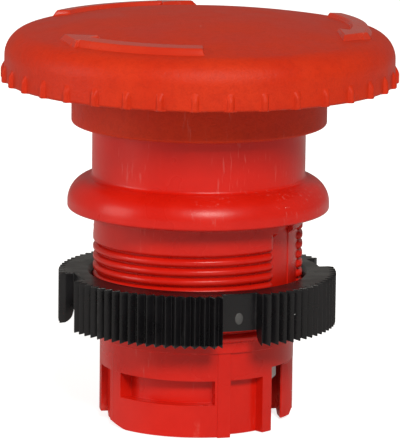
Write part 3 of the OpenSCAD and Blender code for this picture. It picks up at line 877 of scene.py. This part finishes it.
def pale_plastic(name, colour, shade):
    """Natural pale plastic, slightly clouded."""
    material, tree, shader, where = new_material(name, IOR=1.48)
    skin = place_group(tree, moulded_skin, where, Grain_Scale=8000.0, Cloud_Scale=260.0)
    tree.links.new(blend_colour(tree, skin["Clouds"], shade, colour), shader.inputs["Base Color"])
    tree.links.new(ramp(tree, skin["Clouds"], 0.0, 1.0, 0.42, 0.52), shader.inputs["Roughness"])
    tree.links.new(bump(tree, skin["Grain"], 0.25, 0.00005), shader.inputs["Normal"])
    return material


def seal_rubber_finish():
    """Matt black rubber with a dull bloom."""
    material, tree, shader, where = new_material("seal_rubber", IOR=1.5)
    skin = place_group(tree, moulded_skin, where, Grain_Scale=5000.0, Cloud_Scale=300.0)
    bloom = blend_colour(tree, skin["Clouds"], (0.018, 0.018, 0.019, 1), (0.035, 0.035, 0.036, 1))
    tree.links.new(bloom, shader.inputs["Base Color"])
    tree.links.new(ramp(tree, skin["Clouds"], 0.0, 1.0, 0.68, 0.82), shader.inputs["Roughness"])
    tree.links.new(bump(tree, skin["Grain"], 0.4, 0.00008), shader.inputs["Normal"])
    return material


def turned_metal(name, colour, dark, roughness, ring_scale):
    """Bright metal with fine turning or drawing rings round the axis."""
    material, tree, shader, where = new_material(name, Metallic=1.0)
    squeeze = tree.nodes.new("ShaderNodeMapping")
    squeeze.inputs["Scale"].default_value = (0.04, 0.04, 1)
    tree.links.new(where, squeeze.inputs["Vector"])
    rings = noise(tree, squeeze.outputs[0], ring_scale, 3.0, 0.6)
    skin = place_group(tree, moulded_skin, where, Grain_Scale=5000.0, Cloud_Scale=350.0)
    tree.links.new(blend_colour(tree, skin["Clouds"], dark, colour), shader.inputs["Base Color"])
    uneven = ramp(tree, rings, 0.25, 0.75, roughness - 0.08, roughness + 0.1)
    tree.links.new(uneven, shader.inputs["Roughness"])
    tree.links.new(bump(tree, rings, 0.3, 0.00004), shader.inputs["Normal"])
    return material


def floor_finish():
    """Plain pale floor with the faintest unevenness."""
    material, tree, shader, where = new_material("pale_floor", IOR=1.3)
    clouds = noise(tree, where, 6.0, 2.0)
    colour = blend_colour(tree, clouds, (0.78, 0.78, 0.78, 1), (0.8, 0.8, 0.8, 1))
    tree.links.new(colour, shader.inputs["Base Color"])
    shader.inputs["Roughness"].default_value = 0.9
    shader.inputs["Specular IOR Level"].default_value = 0.1
    seen = tree.nodes.new("ShaderNodeLightPath").outputs["Is Camera Ray"]
    tree.links.new(colour, shader.inputs["Emission Color"])
    tree.links.new(seen, shader.inputs["Emission Strength"])
    return material


# The head's shapes


def head_skin():
    """The head as one turned shell: dome, rim, underside, collar and inner sleeve.

    The last two corners of the underside only lead the arcs beside them, and are dropped.
    """
    centre = HEAD_TOP - DOME_R
    reach = RIM_R - SHOULDER_R
    meeting = math.asin(reach / (DOME_R - SHOULDER_R))
    outline = [(0.0, HEAD_TOP)]
    for i in range(1, 25):
        angle = meeting * i / 24
        outline.append((DOME_R * math.sin(angle), centre + DOME_R * math.cos(angle)))
    shoulder = centre + (DOME_R - SHOULDER_R) * math.cos(meeting)
    for i in range(1, 17):
        angle = meeting + (math.pi / 2 - meeting) * i / 16
        outline.append((reach + SHOULDER_R * math.sin(angle), shoulder + SHOULDER_R * math.cos(angle)))
    outline.append((RIM_R, shoulder - 0.4))
    rest = rounded(
        [
            (RIM_R, RIM_LOW, 0.3),
            (SKIRT_R, RIM_LOW, 0.3),
            (SKIRT_R, ROOF, 0.8),
            (COLLAR_R, ROOF, 0.5),
            (COLLAR_R, COLLAR_LOW, 0.3),
            (COLLAR_BORE, COLLAR_LOW, 0.3),
            (COLLAR_BORE, ROOF, 0.5),
            (SLEEVE_R, ROOF, 0.5),
            (SLEEVE_R, SLEEVE_LOW, 0.25),
            (SLEEVE_BORE, SLEEVE_LOW, 0.25),
            (SLEEVE_BORE, BOSS_LOW, 0.2),
            (INSERT_BORE, BOSS_LOW, 0.1),
            (INSERT_BORE, INSERT_LOW, 0),
            (INSERT_R, INSERT_LOW, 0),
            (INSERT_R, INSERT_TOP, 0),
            (0.0, INSERT_TOP, 0),
            (0.0, HEAD_TOP, 0),
            (RIM_R, HEAD_TOP, 0),
        ]
    )
    return turned("head_skin", outline + rest[:-2])


def smooth_step(value):
    """0 below 0, 1 above 1, and an eased slope between."""
    value = min(max(value, 0.0), 1.0)
    return value * value * (3 - 2 * value)


def line_distance(point, start, end):
    """How far a point lies to the left of a line, in plan."""
    sx, sy = end[0] - start[0], end[1] - start[1]
    length = math.hypot(sx, sy)
    return (sx * (point[1] - start[1]) - sy * (point[0] - start[0])) / length


def arrow_share(radius, degrees):
    """How far a point is up an arrow's slopes: 0 or less off it, and 1 on its flat top."""
    along = radius * math.radians(TAIL_DEG - degrees)
    reach = radius * math.radians(degrees - BARB_DEG + 3)
    shaft = min(
        1 + (radius - ARROW_IN) / STEEP_W,
        1 + (ARROW_OUT - radius) / SLOPE_W,
        1 + along / STEEP_W,
        1 + reach / STEEP_W,
    )
    point = on_circle(radius, degrees)
    barb_in = on_circle(BARB_IN, BARB_DEG)
    barb_out = on_circle(BARB_OUT, BARB_DEG)
    tip = on_circle(TIP_R, TIP_DEG)
    head = min(
        1 + line_distance(point, barb_in, tip) / STEEP_W,
        1 + line_distance(point, tip, barb_out) / LEAD_W,
        1 + line_distance(point, barb_out, barb_in) / STEEP_W,
    )
    return max(shaft, head)


def arrow_block():
    """One raised arrow, with its underside sunk in the dome."""
    rows, columns = PATCH_STEPS
    top, bottom = [], []
    for i in range(rows + 1):
        radius = PATCH_R[0] + (PATCH_R[1] - PATCH_R[0]) * i / rows
        top_row, bottom_row = [], []
        for j in range(columns + 1):
            degrees = PATCH_DEG[0] + (PATCH_DEG[1] - PATCH_DEG[0]) * j / columns
            x, y = on_circle(radius, degrees)
            skin = dome_height(radius)
            share = arrow_share(radius, degrees)
            eased = (min(max(share, 0.0), 1.0) + smooth_step(share)) / 2
            height = ARROW_H + ARROW_RISE * (radius - BARB_IN) + ARROW_SUNK
            lift = height * eased - ARROW_SUNK
            top_row.append((x, y, skin + lift))
            bottom_row.append((x, y, skin - 0.4))
        top.append(top_row)
        bottom.append(bottom_row)
    return sheet_block("arrow", top, bottom, 180)


def rim_rib():
    """One grip rib: a soft ridge that ends in a round top, its back sunk in the rim."""
    top, bottom = [], []
    rows, columns = 18, 15
    patch_half, foot_half, foot_share = 0.62, 0.45, 0.08
    blunt_end = 0.15
    for i in range(rows):
        height = RIM_LOW + 0.04 + (RIB_TOP - RIM_LOW) * i / (rows - 1)
        top_row, bottom_row = [], []
        for j in range(columns):
            side = (-1 + 2 * j / (columns - 1)) * patch_half
            ridge = math.cos(min(abs(side) / RIB_HALF, 1.0) * math.pi / 2) ** 0.6
            foot = math.exp(-((abs(side) / foot_half) ** 4)) * foot_share
            low_end = (height - RIM_LOW) / blunt_end
            fade = smooth_step(RIB_TOP - height) ** 0.6 * min(1.0, 0.75 + 0.25 * max(0.0, low_end))
            radius = RIM_R - 0.05 + (RIB_OUT + 0.05) * min(1.0, ridge + foot) * fade
            degrees = math.degrees(side / RIM_R)
            top_row.append((*on_circle(radius, degrees), height))
            bottom_row.append((*on_circle(RIM_R - 0.5, degrees), height))
        top.append(top_row)
        bottom.append(bottom_row)
    return sheet_block("rib", top, bottom, 60)


def underside_web():
    """One stiffening web between collar and rim, under the head."""
    radii = (COLLAR_R - 0.2, SKIRT_R + 0.2)
    outline = [
        (radii[0], ROOF + 0.3),
        (radii[1], ROOF + 0.3),
        (radii[1], WEB_LOW),
        (radii[0], WEB_LOW),
    ]
    top = [[(r, -WEB_W / 2, z) for r, z in outline[:2]], [(r, -WEB_W / 2, z) for r, z in outline[3:1:-1]]]
    bottom = [[(x, -y, z) for x, y, z in row] for row in top]
    return sheet_block("web", top, bottom, 30)


# The body's shapes


def barrel_radius(r, z, degrees):
    """Sinks the plain keyway into the barrel."""
    inside = between(degrees, KEY_DEG) and abs(degrees % 360 - KEY_DEG[0]) > 0.01
    if inside and THREAD_LOW - 0.1 < z < KEY_TOP and r > KEY_R:
        return KEY_R
    return r


def barrel_skin():
    """Neck, flange and barrel as one turned shell, with the gasket groove and the bore."""
    corners = [
        (BORE_R, NECK_TOP, 0.2),
        (NECK_R, NECK_TOP, 0.3),
    ]
    # The last two corners only lead the arcs beside them, and are dropped
    outline = rounded(corners + [(NECK_R, 8, 0), (BORE_R, 8, 0)])[:-2]
    outline += [(NECK_R, z) for z in (10.0, 8.0, 6.0, 4.2)]
    centre = (FLANGE_R - FLANGE_ROUND, FLANGE_SIDE)
    fillet = 0.35
    start = math.asin(min(1.0, (NECK_R + fillet - centre[0]) / (FLANGE_ROUND + fillet)))
    fillet_z = centre[1] + (FLANGE_ROUND + fillet) * math.cos(start)
    for i in range(7):
        angle = math.pi / 2 + (math.pi / 2 - start) * i / 6
        outline.append((NECK_R + fillet - fillet * math.sin(angle), fillet_z + fillet * math.cos(angle)))
    for i in range(1, 25):
        angle = start + (math.pi / 2 - start) * i / 24
        r, z = centre[0] + FLANGE_ROUND * math.sin(angle), centre[1] + FLANGE_ROUND * math.cos(angle)
        outline.append((r, z))
    step_r, step_z = BORE_R + 0.6, FLOOR_TOP - 0.2
    lower = rounded(
        [
            (FLANGE_R, 0.0, 0.3),
            (GASKET_R[1] + 0.05, 0.0, 0.08),
            (GASKET_R[1] + 0.05, GASKET_H, 0.1),
            (GASKET_R[0] - 0.05, GASKET_H, 0.1),
            (GASKET_R[0] - 0.05, 0.0, 0.08),
            (CREST_R, 0.0, 0.15),
            (CREST_R, -PLAIN_LEN + 0.1, 0.12),
            (ROOT_R, -PLAIN_LEN - 0.35, 0.1),
            (ROOT_R, THREAD_LOW, 0.12),
            (step_r, THREAD_LOW, 0),
            (step_r, step_z, 0),
            (BORE_R, step_z, 0),
            (BORE_R, 12.0, 0),
            (FLANGE_R, 12.0, 0),
        ]
    )
    breaks = []
    for edge in KEY_DEG:
        breaks += [edge - 0.25, edge, edge + 0.1, edge + 0.35]
    angles = even_angles(breaks, 1.5)
    return turned("barrel", outline + lower[:-2], angles, barrel_radius, 40)


def thread_turn(number):
    """One turn of the thread, numbered from 0 at the top, from the keyway round to it again.

    In front the first two turns fade out, and the third runs up into the plain part above it.
    """
    start, end = THREAD_DEG
    sections = []
    count = 210
    for k in range(count):
        degrees = start + (end - start) * k / (count - 1)
        arc = min(degrees - start, end - degrees) * math.radians(1) * CREST_R
        swell = math.sqrt(max(0.06, 1 - (1 - min(arc / END_SWELL, 1.0)) ** 2))
        front = smooth_step((degrees - 360 - PLAIN_FRONT_DEG) / PLAIN_FADE_DEG)
        if number < 2:
            swell *= 1 - front
        filled = front if number == 2 else 0.0
        height = TURN_START_Z + PITCH * (degrees / 360 - number)
        section = []
        for across, up in CREST_PROFILE:
            reach = across + (1 - across) * filled if up > 0 and across > 0 else across
            radius = ROOT_R - 0.05 + (CREST_R - ROOT_R + 0.05) * reach * swell - 0.25 * (1 - swell)
            side = up * (0.5 * PITCH * (0.4 + 0.6 * swell) + (1.9 * PITCH * filled if up > 0 else 0))
            section.append((*on_circle(radius, degrees), height + side))
        sections.append(section)
    points = [p for section in sections for p in section]
    width = len(CREST_PROFILE)
    faces = []
    for k in range(count - 1):
        for i in range(width):
            j = (i + 1) % width
            faces.append((k * width + i, k * width + j, (k + 1) * width + j, (k + 1) * width + i))
    faces.append(tuple(range(width)))
    faces.append(tuple(range((count - 1) * width, count * width)))
    return new_mesh("thread_turn", points, faces, 60)


def socket_solid(r, z, degrees):
    """Whether the socket has plastic at this radius, height and angle."""
    if r < FLOOR_BORE or (r < CAVITY_R and z < FLOOR_LOW):
        return False
    half = degrees % 180

    def within(limits):
        return between(half, limits) or between(half + 180, limits)

    if r > SOCKET_R:
        return within(CODE_RIB_DEG) and z < CODE_RIB_TOP
    if z < SOCKET_LOW:
        return within(CODE_RIB_DEG) and r > RECESS_R
    if z < SLOT_TOP and within(SLOT_DEG):
        return False
    if z < SLOT_TOP and r < CAVITY_BY_SLOT_R and within((SLOT_DEG[0], SLOT_CAVITY_DEG)):
        return False
    if POCKET_LOW < z < RECESS_TOP and r > RECESS_R and within(POCKET_DEG):
        return False
    if z < RECESS_TOP and r > SIDE_R and within(SIDE_DEG):
        return False
    return not (z < RECESS_TOP and r > DEEP_R and within(DEEP_DEG))


def bottom_rise(r, degrees):
    """How far the socket's bottom edge is raised, which is less under the side recess."""
    half = degrees % 180
    in_recess = r <= SIDE_R and SIDE_DEG[0] + 180 < half <= SIDE_DEG[1] + 180
    share = SIDE_RISE_SHARE if in_recess else 1
    on = (degrees + 90) % 180
    for (before, low_rise), (after, high_rise) in zip(BOTTOM_RISE, BOTTOM_RISE[1:]):
        if on <= after:
            return share * (low_rise + (high_rise - low_rise) * (on - before) / (after - before))
    return 0.0


def shaped_socket(r, z, degrees):
    """Where a corner of the socket's blocks goes: the bottom edge, and the leg past the slot."""
    past = (degrees - SLOT_DEG[1]) % 180
    if z == SOCKET_LOW:
        z += bottom_rise(r, degrees)
    if z < SLOT_TOP and r == CAVITY_BY_SLOT_R and past <= SLOT_CAVITY_DEG - SLOT_DEG[1]:
        return r - LEG_BORE_SLOPE * past, z
    if z < SLOT_TOP and r > CAVITY_BY_SLOT_R and past < SLOT_CHAMFER_DEG:
        share = LEG_TIP_SHARE + (1 - LEG_TIP_SHARE) * past / SLOT_CHAMFER_DEG
        return CAVITY_BY_SLOT_R + (r - CAVITY_BY_SLOT_R) * share, z
    return r, z


def socket_block():
    """The lower socket with its pockets, recesses, slots and coding ribs."""
    breaks = [*POCKET_DEG, *CODE_RIB_DEG, *DEEP_DEG, *SLOT_DEG, *SIDE_DEG, SLOT_CAVITY_DEG]
    angles = even_angles([b + turn for b in breaks for turn in (0, 180)], 2.5)
    radii = [FLOOR_BORE, CAVITY_R, RECESS_R, CAVITY_BY_SLOT_R, DEEP_R, SIDE_R, SOCKET_R, CODE_RIB_R]
    heights = [RIB_LOW, SOCKET_LOW, POCKET_LOW, RECESS_TOP, SLOT_TOP, FLOOR_LOW]
    heights += [CODE_RIB_TOP, FLOOR_TOP]
    return ring_blocks("socket", radii, heights, angles, socket_solid, shaped_socket)


# The nut's, foot's and springs' shapes


def in_notch(degrees):
    """Whether an angle lies in one of the nut's grip notches."""
    step = 360 / NOTCH_COUNT
    away = (degrees - NOTCH_TURN + step / 2) % step - step / 2
    return abs(away) < NOTCH_DEG / 2


def nut_blank():
    """The nut before its knurl is pressed: a disc with a skirt between the notches."""
    breaks = []
    step = 360 / NOTCH_COUNT
    for k in range(NOTCH_COUNT):
        middle = NOTCH_TURN + k * step
        breaks += [middle - NOTCH_DEG / 2, middle + NOTCH_DEG / 2]
    half_tooth = 180 / TOOTH_COUNT
    for k in range(2 * TOOTH_COUNT):
        degrees = NOTCH_TURN + k * half_tooth
        away = (degrees - NOTCH_TURN + step / 2) % step - step / 2
        if abs(abs(away) - NOTCH_DEG / 2) > 0.7:
            breaks.append(degrees)

    def solid(r, z, degrees):
        if in_notch(degrees):
            return r < NOTCH_R and z > DISC_LOW
        return r > NOTCH_R or z > DISC_LOW

    def move(r, z, degrees):
        if r < NUT_MOUTH and z > NUT_TOP - 0.01:
            return NUT_MOUTH, z
        return r, z

    skirt = [NOTCH_R + (NUT_R - NOTCH_R) * k / 6 for k in range(7)]
    radii = [NUT_BORE, 12.0] + skirt
    heights = [NUT_LOW, DISC_LOW, NUT_TOP - 0.45, NUT_TOP]
    return ring_blocks("nut", radii, heights, even_angles(breaks, 2.1), solid, move)


def gate_mark():
    """The small round mark on the front notch's floor."""
    radius, sunk = 0.5, -0.3
    outline = [(0.0, 0.16), (radius - 0.14, 0.14), (radius - 0.05, 0.1), (radius, 0.0)]
    outline += [(radius, sunk), (0.0, sunk)]
    mesh = turned("gate_mark", outline, [15 * i for i in range(24)])
    x, y = on_circle((NOTCH_R - 0.1) * MM, NOTCH_TURN)
    height = ((NUT_TOP + DISC_LOW) / 2 - 0.65) * MM
    lie = Matrix.Rotation(math.radians(NOTCH_TURN), 4, "Z") @ Matrix.Rotation(math.pi / 2, 4, "X")
    mesh.transform(Matrix.Translation((x, y, height)) @ lie @ Matrix.Diagonal((0.95, 1.35, 1, 1)))
    return mesh


def foot_cup():
    """The foot's cup with the ring that plugs into the plunger."""
    outline = rounded(
        [
            (0.0, FOOT_LOW + 0.04, 0),
            (CUP_R, FOOT_LOW + 0.04, 0.2),
            (CUP_R, TUBE_LOW - 0.01, 0.1),
            (PLUG_R[1], TUBE_LOW - 0.01, 0.05),
            (PLUG_R[1], PLUG_TOP, 0.15),
            (PLUG_R[0], PLUG_TOP, 0.15),
            (PLUG_R[0], CUP_FLOOR, 0.2),
            (0.0, CUP_FLOOR, 0),
        ]
    )
    return turned("foot_cup", outline, [3 * i for i in range(120)])


def foot_wing():
    """One wing of the foot, which shows in the socket's slot."""
    root = CUP_R - 0.7
    top_row = [(root, TUBE_LOW), (TUBE_R, TUBE_LOW), (TUBE_R, WING_TOP), (WING_R, WING_TOP)]
    low_row = [(root, FOOT_LOW), (TUBE_R, FOOT_LOW), (WING_R - WING_EDGE, FOOT_LOW)]
    low_row.append((WING_R, FOOT_LOW + WING_EDGE))
    middle = math.radians((SLOT_DEG[0] + SLOT_DEG[1]) / 2)
    c, s = math.sin(middle), -math.cos(middle)

    def placed(r, side, z):
        return (r * c - side * s, r * s + side * c, z)

    near = [[placed(r, -WING_W / 2, z) for r, z in row] for row in (top_row, low_row)]
    far = [[placed(r, WING_W / 2, z) for r, z in row] for row in (top_row, low_row)]
    return sheet_block("wing", near, far, 30)


# Finishes

repeat_round_axis = repeat_tree()
wound_coil = coil_tree()
press_knurl = knurl_tree()
moulded_skin = moulded_skin_group()
edge_wear = edge_wear_group()
specks = specks_group()
fine_scratches = fine_scratches_group()

RUBBED_RED = (0.85, 0.36, 0.3, 1)
PALE_MARK = (0.85, 0.6, 0.55, 1)
RUBBED_BLACK = (0.16, 0.16, 0.16, 1)
GREY_DUST = (0.5, 0.5, 0.5, 1)
RED = (0.64, 0.012, 0.004, 1)
RED_DEEP = (0.59, 0.009, 0.003, 1)
RED_HEAD = (0.62, 0.032, 0.005, 1)
RED_HEAD_DEEP = (0.57, 0.024, 0.004, 1)
FINISHES = {
    "head_red": red_plastic("head_red", RED_HEAD, RED_HEAD_DEEP, 0.47, 0.17, 1.0),
    "arrow_red": red_plastic("arrow_red", RED_HEAD, RED_HEAD_DEEP, 0.24, 0.5, 0.15),
    "body_red": red_plastic("body_red", RED, RED_DEEP, 0.31, 0.3, 0.25, (-58.5, 76.0)),
    "nut_black": black_plastic("nut_black", (0.0045, 0.0042, 0.005, 1), 0.3, 0.36, 0.25, 0.05),
    "black_plastic": black_plastic("black_plastic", (0.02, 0.02, 0.02, 1), 0.5, 0.5, 0.3, 0.02),
    "gate_grey": black_plastic("gate_grey", (0.045, 0.045, 0.045, 1), 0.55, 0.5, 1.0, 0.5),
    "plunger_pale": pale_plastic("plunger_pale", (0.5, 0.5, 0.49, 1), (0.44, 0.44, 0.44, 1)),
    "bush_pale": pale_plastic("bush_pale", (0.72, 0.71, 0.66, 1), (0.64, 0.63, 0.59, 1)),
    "seal_rubber": seal_rubber_finish(),
    "spring_steel": turned_metal("spring_steel", (0.56, 0.57, 0.58, 1), (0.4, 0.41, 0.42, 1), 0.28, 4000.0),
    "spindle_steel": turned_metal("spindle_steel", (0.6, 0.61, 0.62, 1), (0.5, 0.51, 0.52, 1), 0.3, 9000.0),
    "insert_brass": turned_metal("insert_brass", (0.78, 0.55, 0.22, 1), (0.6, 0.4, 0.15, 1), 0.3, 9000.0),
}


# The object


def dress_frame():
    """Gives every CAD node the finish of its own slot."""
    for part in frame["record"]["subparts"]:
        mesh = frame["nodes"][part["node"]].data
        mesh.materials.clear()
        mesh.materials.append(FINISHES[part["material_slot"]])


def make_head():
    """The red head with its arrows, grip ribs and underside webs."""
    finish = FINISHES["head_red"]
    arrows = grown(repeat_round_axis, arrow_block(), finish, Count=3, Turn=math.tau / 3)
    ribs = grown(
        repeat_round_axis,
        rim_rib(),
        finish,
        Count=RIB_COUNT,
        First_Angle=math.radians(RIB_TURN),
        Turn=math.tau / RIB_COUNT,
    )
    webs = grown(repeat_round_axis, underside_web(), finish, Count=WEB_COUNT, Turn=math.tau / WEB_COUNT)
    piece("red_head", [head_skin(), ribs], finish, "head", ["mushroom_cap"])
    piece("head_arrows", [arrows], FINISHES["arrow_red"], "head")
    piece("head_webs", [webs], finish, "head", bevel=0.15)


def make_body():
    """The red neck, flange and barrel with its thread, and the socket below."""
    finish = FINISHES["body_red"]
    upper = [thread_turn(k) for k in range(3)]
    thread = grown(repeat_round_axis, thread_turn(3), finish, Count=CREST_COUNT - 3, Rise=-PITCH * MM)
    piece("red_barrel", [barrel_skin()], finish, "body", ["housing"])
    piece("barrel_thread", [thread] + upper, finish, "body")
    piece("red_socket", [socket_block()], finish, "body", ["housing"], bevel=0.1)


def make_nut():
    """The black knurled nut with its gate mark."""
    finish = FINISHES["nut_black"]
    knurled = grown(
        press_knurl,
        nut_blank(),
        finish,
        Teeth=float(TOOTH_COUNT),
        Depth=TOOTH_DEPTH * MM,
        Inner_Radius=NOTCH_R * MM,
        Outer_Radius=NUT_R * MM,
        First_Tooth=math.radians(NOTCH_TURN),
        Low=NUT_LOW * MM,
        Under_Round=UNDER_ROUND * MM,
    )
    piece("knurled_nut", [knurled], finish, "nut", ["ring_nut"], bevel=0.07)
    piece("nut_gate_mark", [gate_mark()], FINISHES["gate_grey"], "nut")


def make_foot():
    """The pale foot with its two wings."""
    finish = FINISHES["plunger_pale"]
    wings = grown(repeat_round_axis, foot_wing(), finish, Count=2, Turn=math.pi)
    piece("foot_cup", [foot_cup()], finish, "plunger", ["plunger_foot"])
    piece("foot_wings", [wings], finish, "plunger", bevel=0.15)


def make_coil(name, node, body, slot, turns, wire_r, closed):
    """A wound coil in place of a CAD spring."""
    lo, hi = low(node), high(node)
    start = bpy.data.meshes.new("coil_start")
    mesh = grown(
        wound_coil,
        start,
        FINISHES[slot],
        Turns=float(turns),
        Coil_Radius=(hi[0] - wire_r) * MM,
        Wire_Radius=wire_r * MM,
        Low=lo[2] * MM,
        High=hi[2] * MM,
        Closed_Ends=closed,
    )
    mesh.shade_smooth()
    return piece(name, [mesh], FINISHES[slot], body, [node])


def make_springs():
    """The return spring, which shortens when pressed, and the light turning spring."""
    spring = make_coil("return_coil", "return_spring", "body", "spring_steel", 5.5, 0.35, 0.75)
    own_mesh(spring)
    make_coil("turning_coil", "turning_spring", "plunger", "spring_steel", 5.0, 0.25, 0.3)


def make_floor():
    """A wide pale floor under the socket."""
    half = 3.0
    gap = 0.00005
    z = low("housing")[2] * MM - gap
    mesh = bpy.data.meshes.new("floor")
    corners = [(-half, -half, z), (half, -half, z), (half, half, z), (-half, half, z)]
    mesh.from_pydata(corners, [], [(0, 1, 2, 3)])
    mesh.materials.append(floor_finish())
    floor = bpy.data.objects.new("floor", mesh)
    bpy.context.scene.collection.objects.link(floor)


def make_light(name, place, size, power):
    """One soft, slightly warm, rectangular studio light, aimed at the object."""
    data = bpy.data.lights.new(name, "AREA")
    data.shape = "RECTANGLE"
    data.size, data.size_y = size
    data.energy = power
    data.color = (1, 0.97, 0.92)
    lamp = bpy.data.objects.new(name, data)
    bpy.context.scene.collection.objects.link(lamp)
    lamp.location = place
    lamp.rotation_euler = (-Vector(place)).to_track_quat("-Z", "Y").to_euler()


def make_lights():
    """A soft key above the front, and an even, weak white surround."""
    make_light("key", (0.17, -0.76, 0.56), (0.3, 0.22), 7.0)
    make_light("fill", (-0.85, -0.2, 0.22), (0.4, 0.5), 2.6)
    world = bpy.data.worlds.new("surround")
    bpy.context.scene.world = world
    world.use_nodes = True
    background = world.node_tree.nodes["Background"]
    background.inputs["Color"].default_value = (1, 0.95, 0.88, 1)
    background.inputs["Strength"].default_value = 0.26


def make_camera():
    """A long lens in front of the object, looking slightly down."""
    distance, height = 0.46606, 0.08778
    pitch, roll = math.radians(10.829), math.radians(0.693)
    data = bpy.data.cameras.new("camera")
    data.lens = 373.5
    data.sensor_width = 36
    data.shift_x = 0.00458
    data.clip_start, data.clip_end = 0.01, 20
    camera = bpy.data.objects.new("camera", data)
    bpy.context.scene.collection.objects.link(camera)
    look = Matrix.Rotation(math.pi / 2 - pitch, 4, "X") @ Matrix.Rotation(roll, 4, "Z")
    camera.matrix_world = Matrix.Translation((0, -distance, height)) @ look
    bpy.context.scene.camera = camera


dress_frame()
make_head()
make_body()
make_nut()
make_foot()
make_springs()
make_floor()
make_lights()
make_camera()
bpy.context.scene.view_settings.view_transform = "Standard"
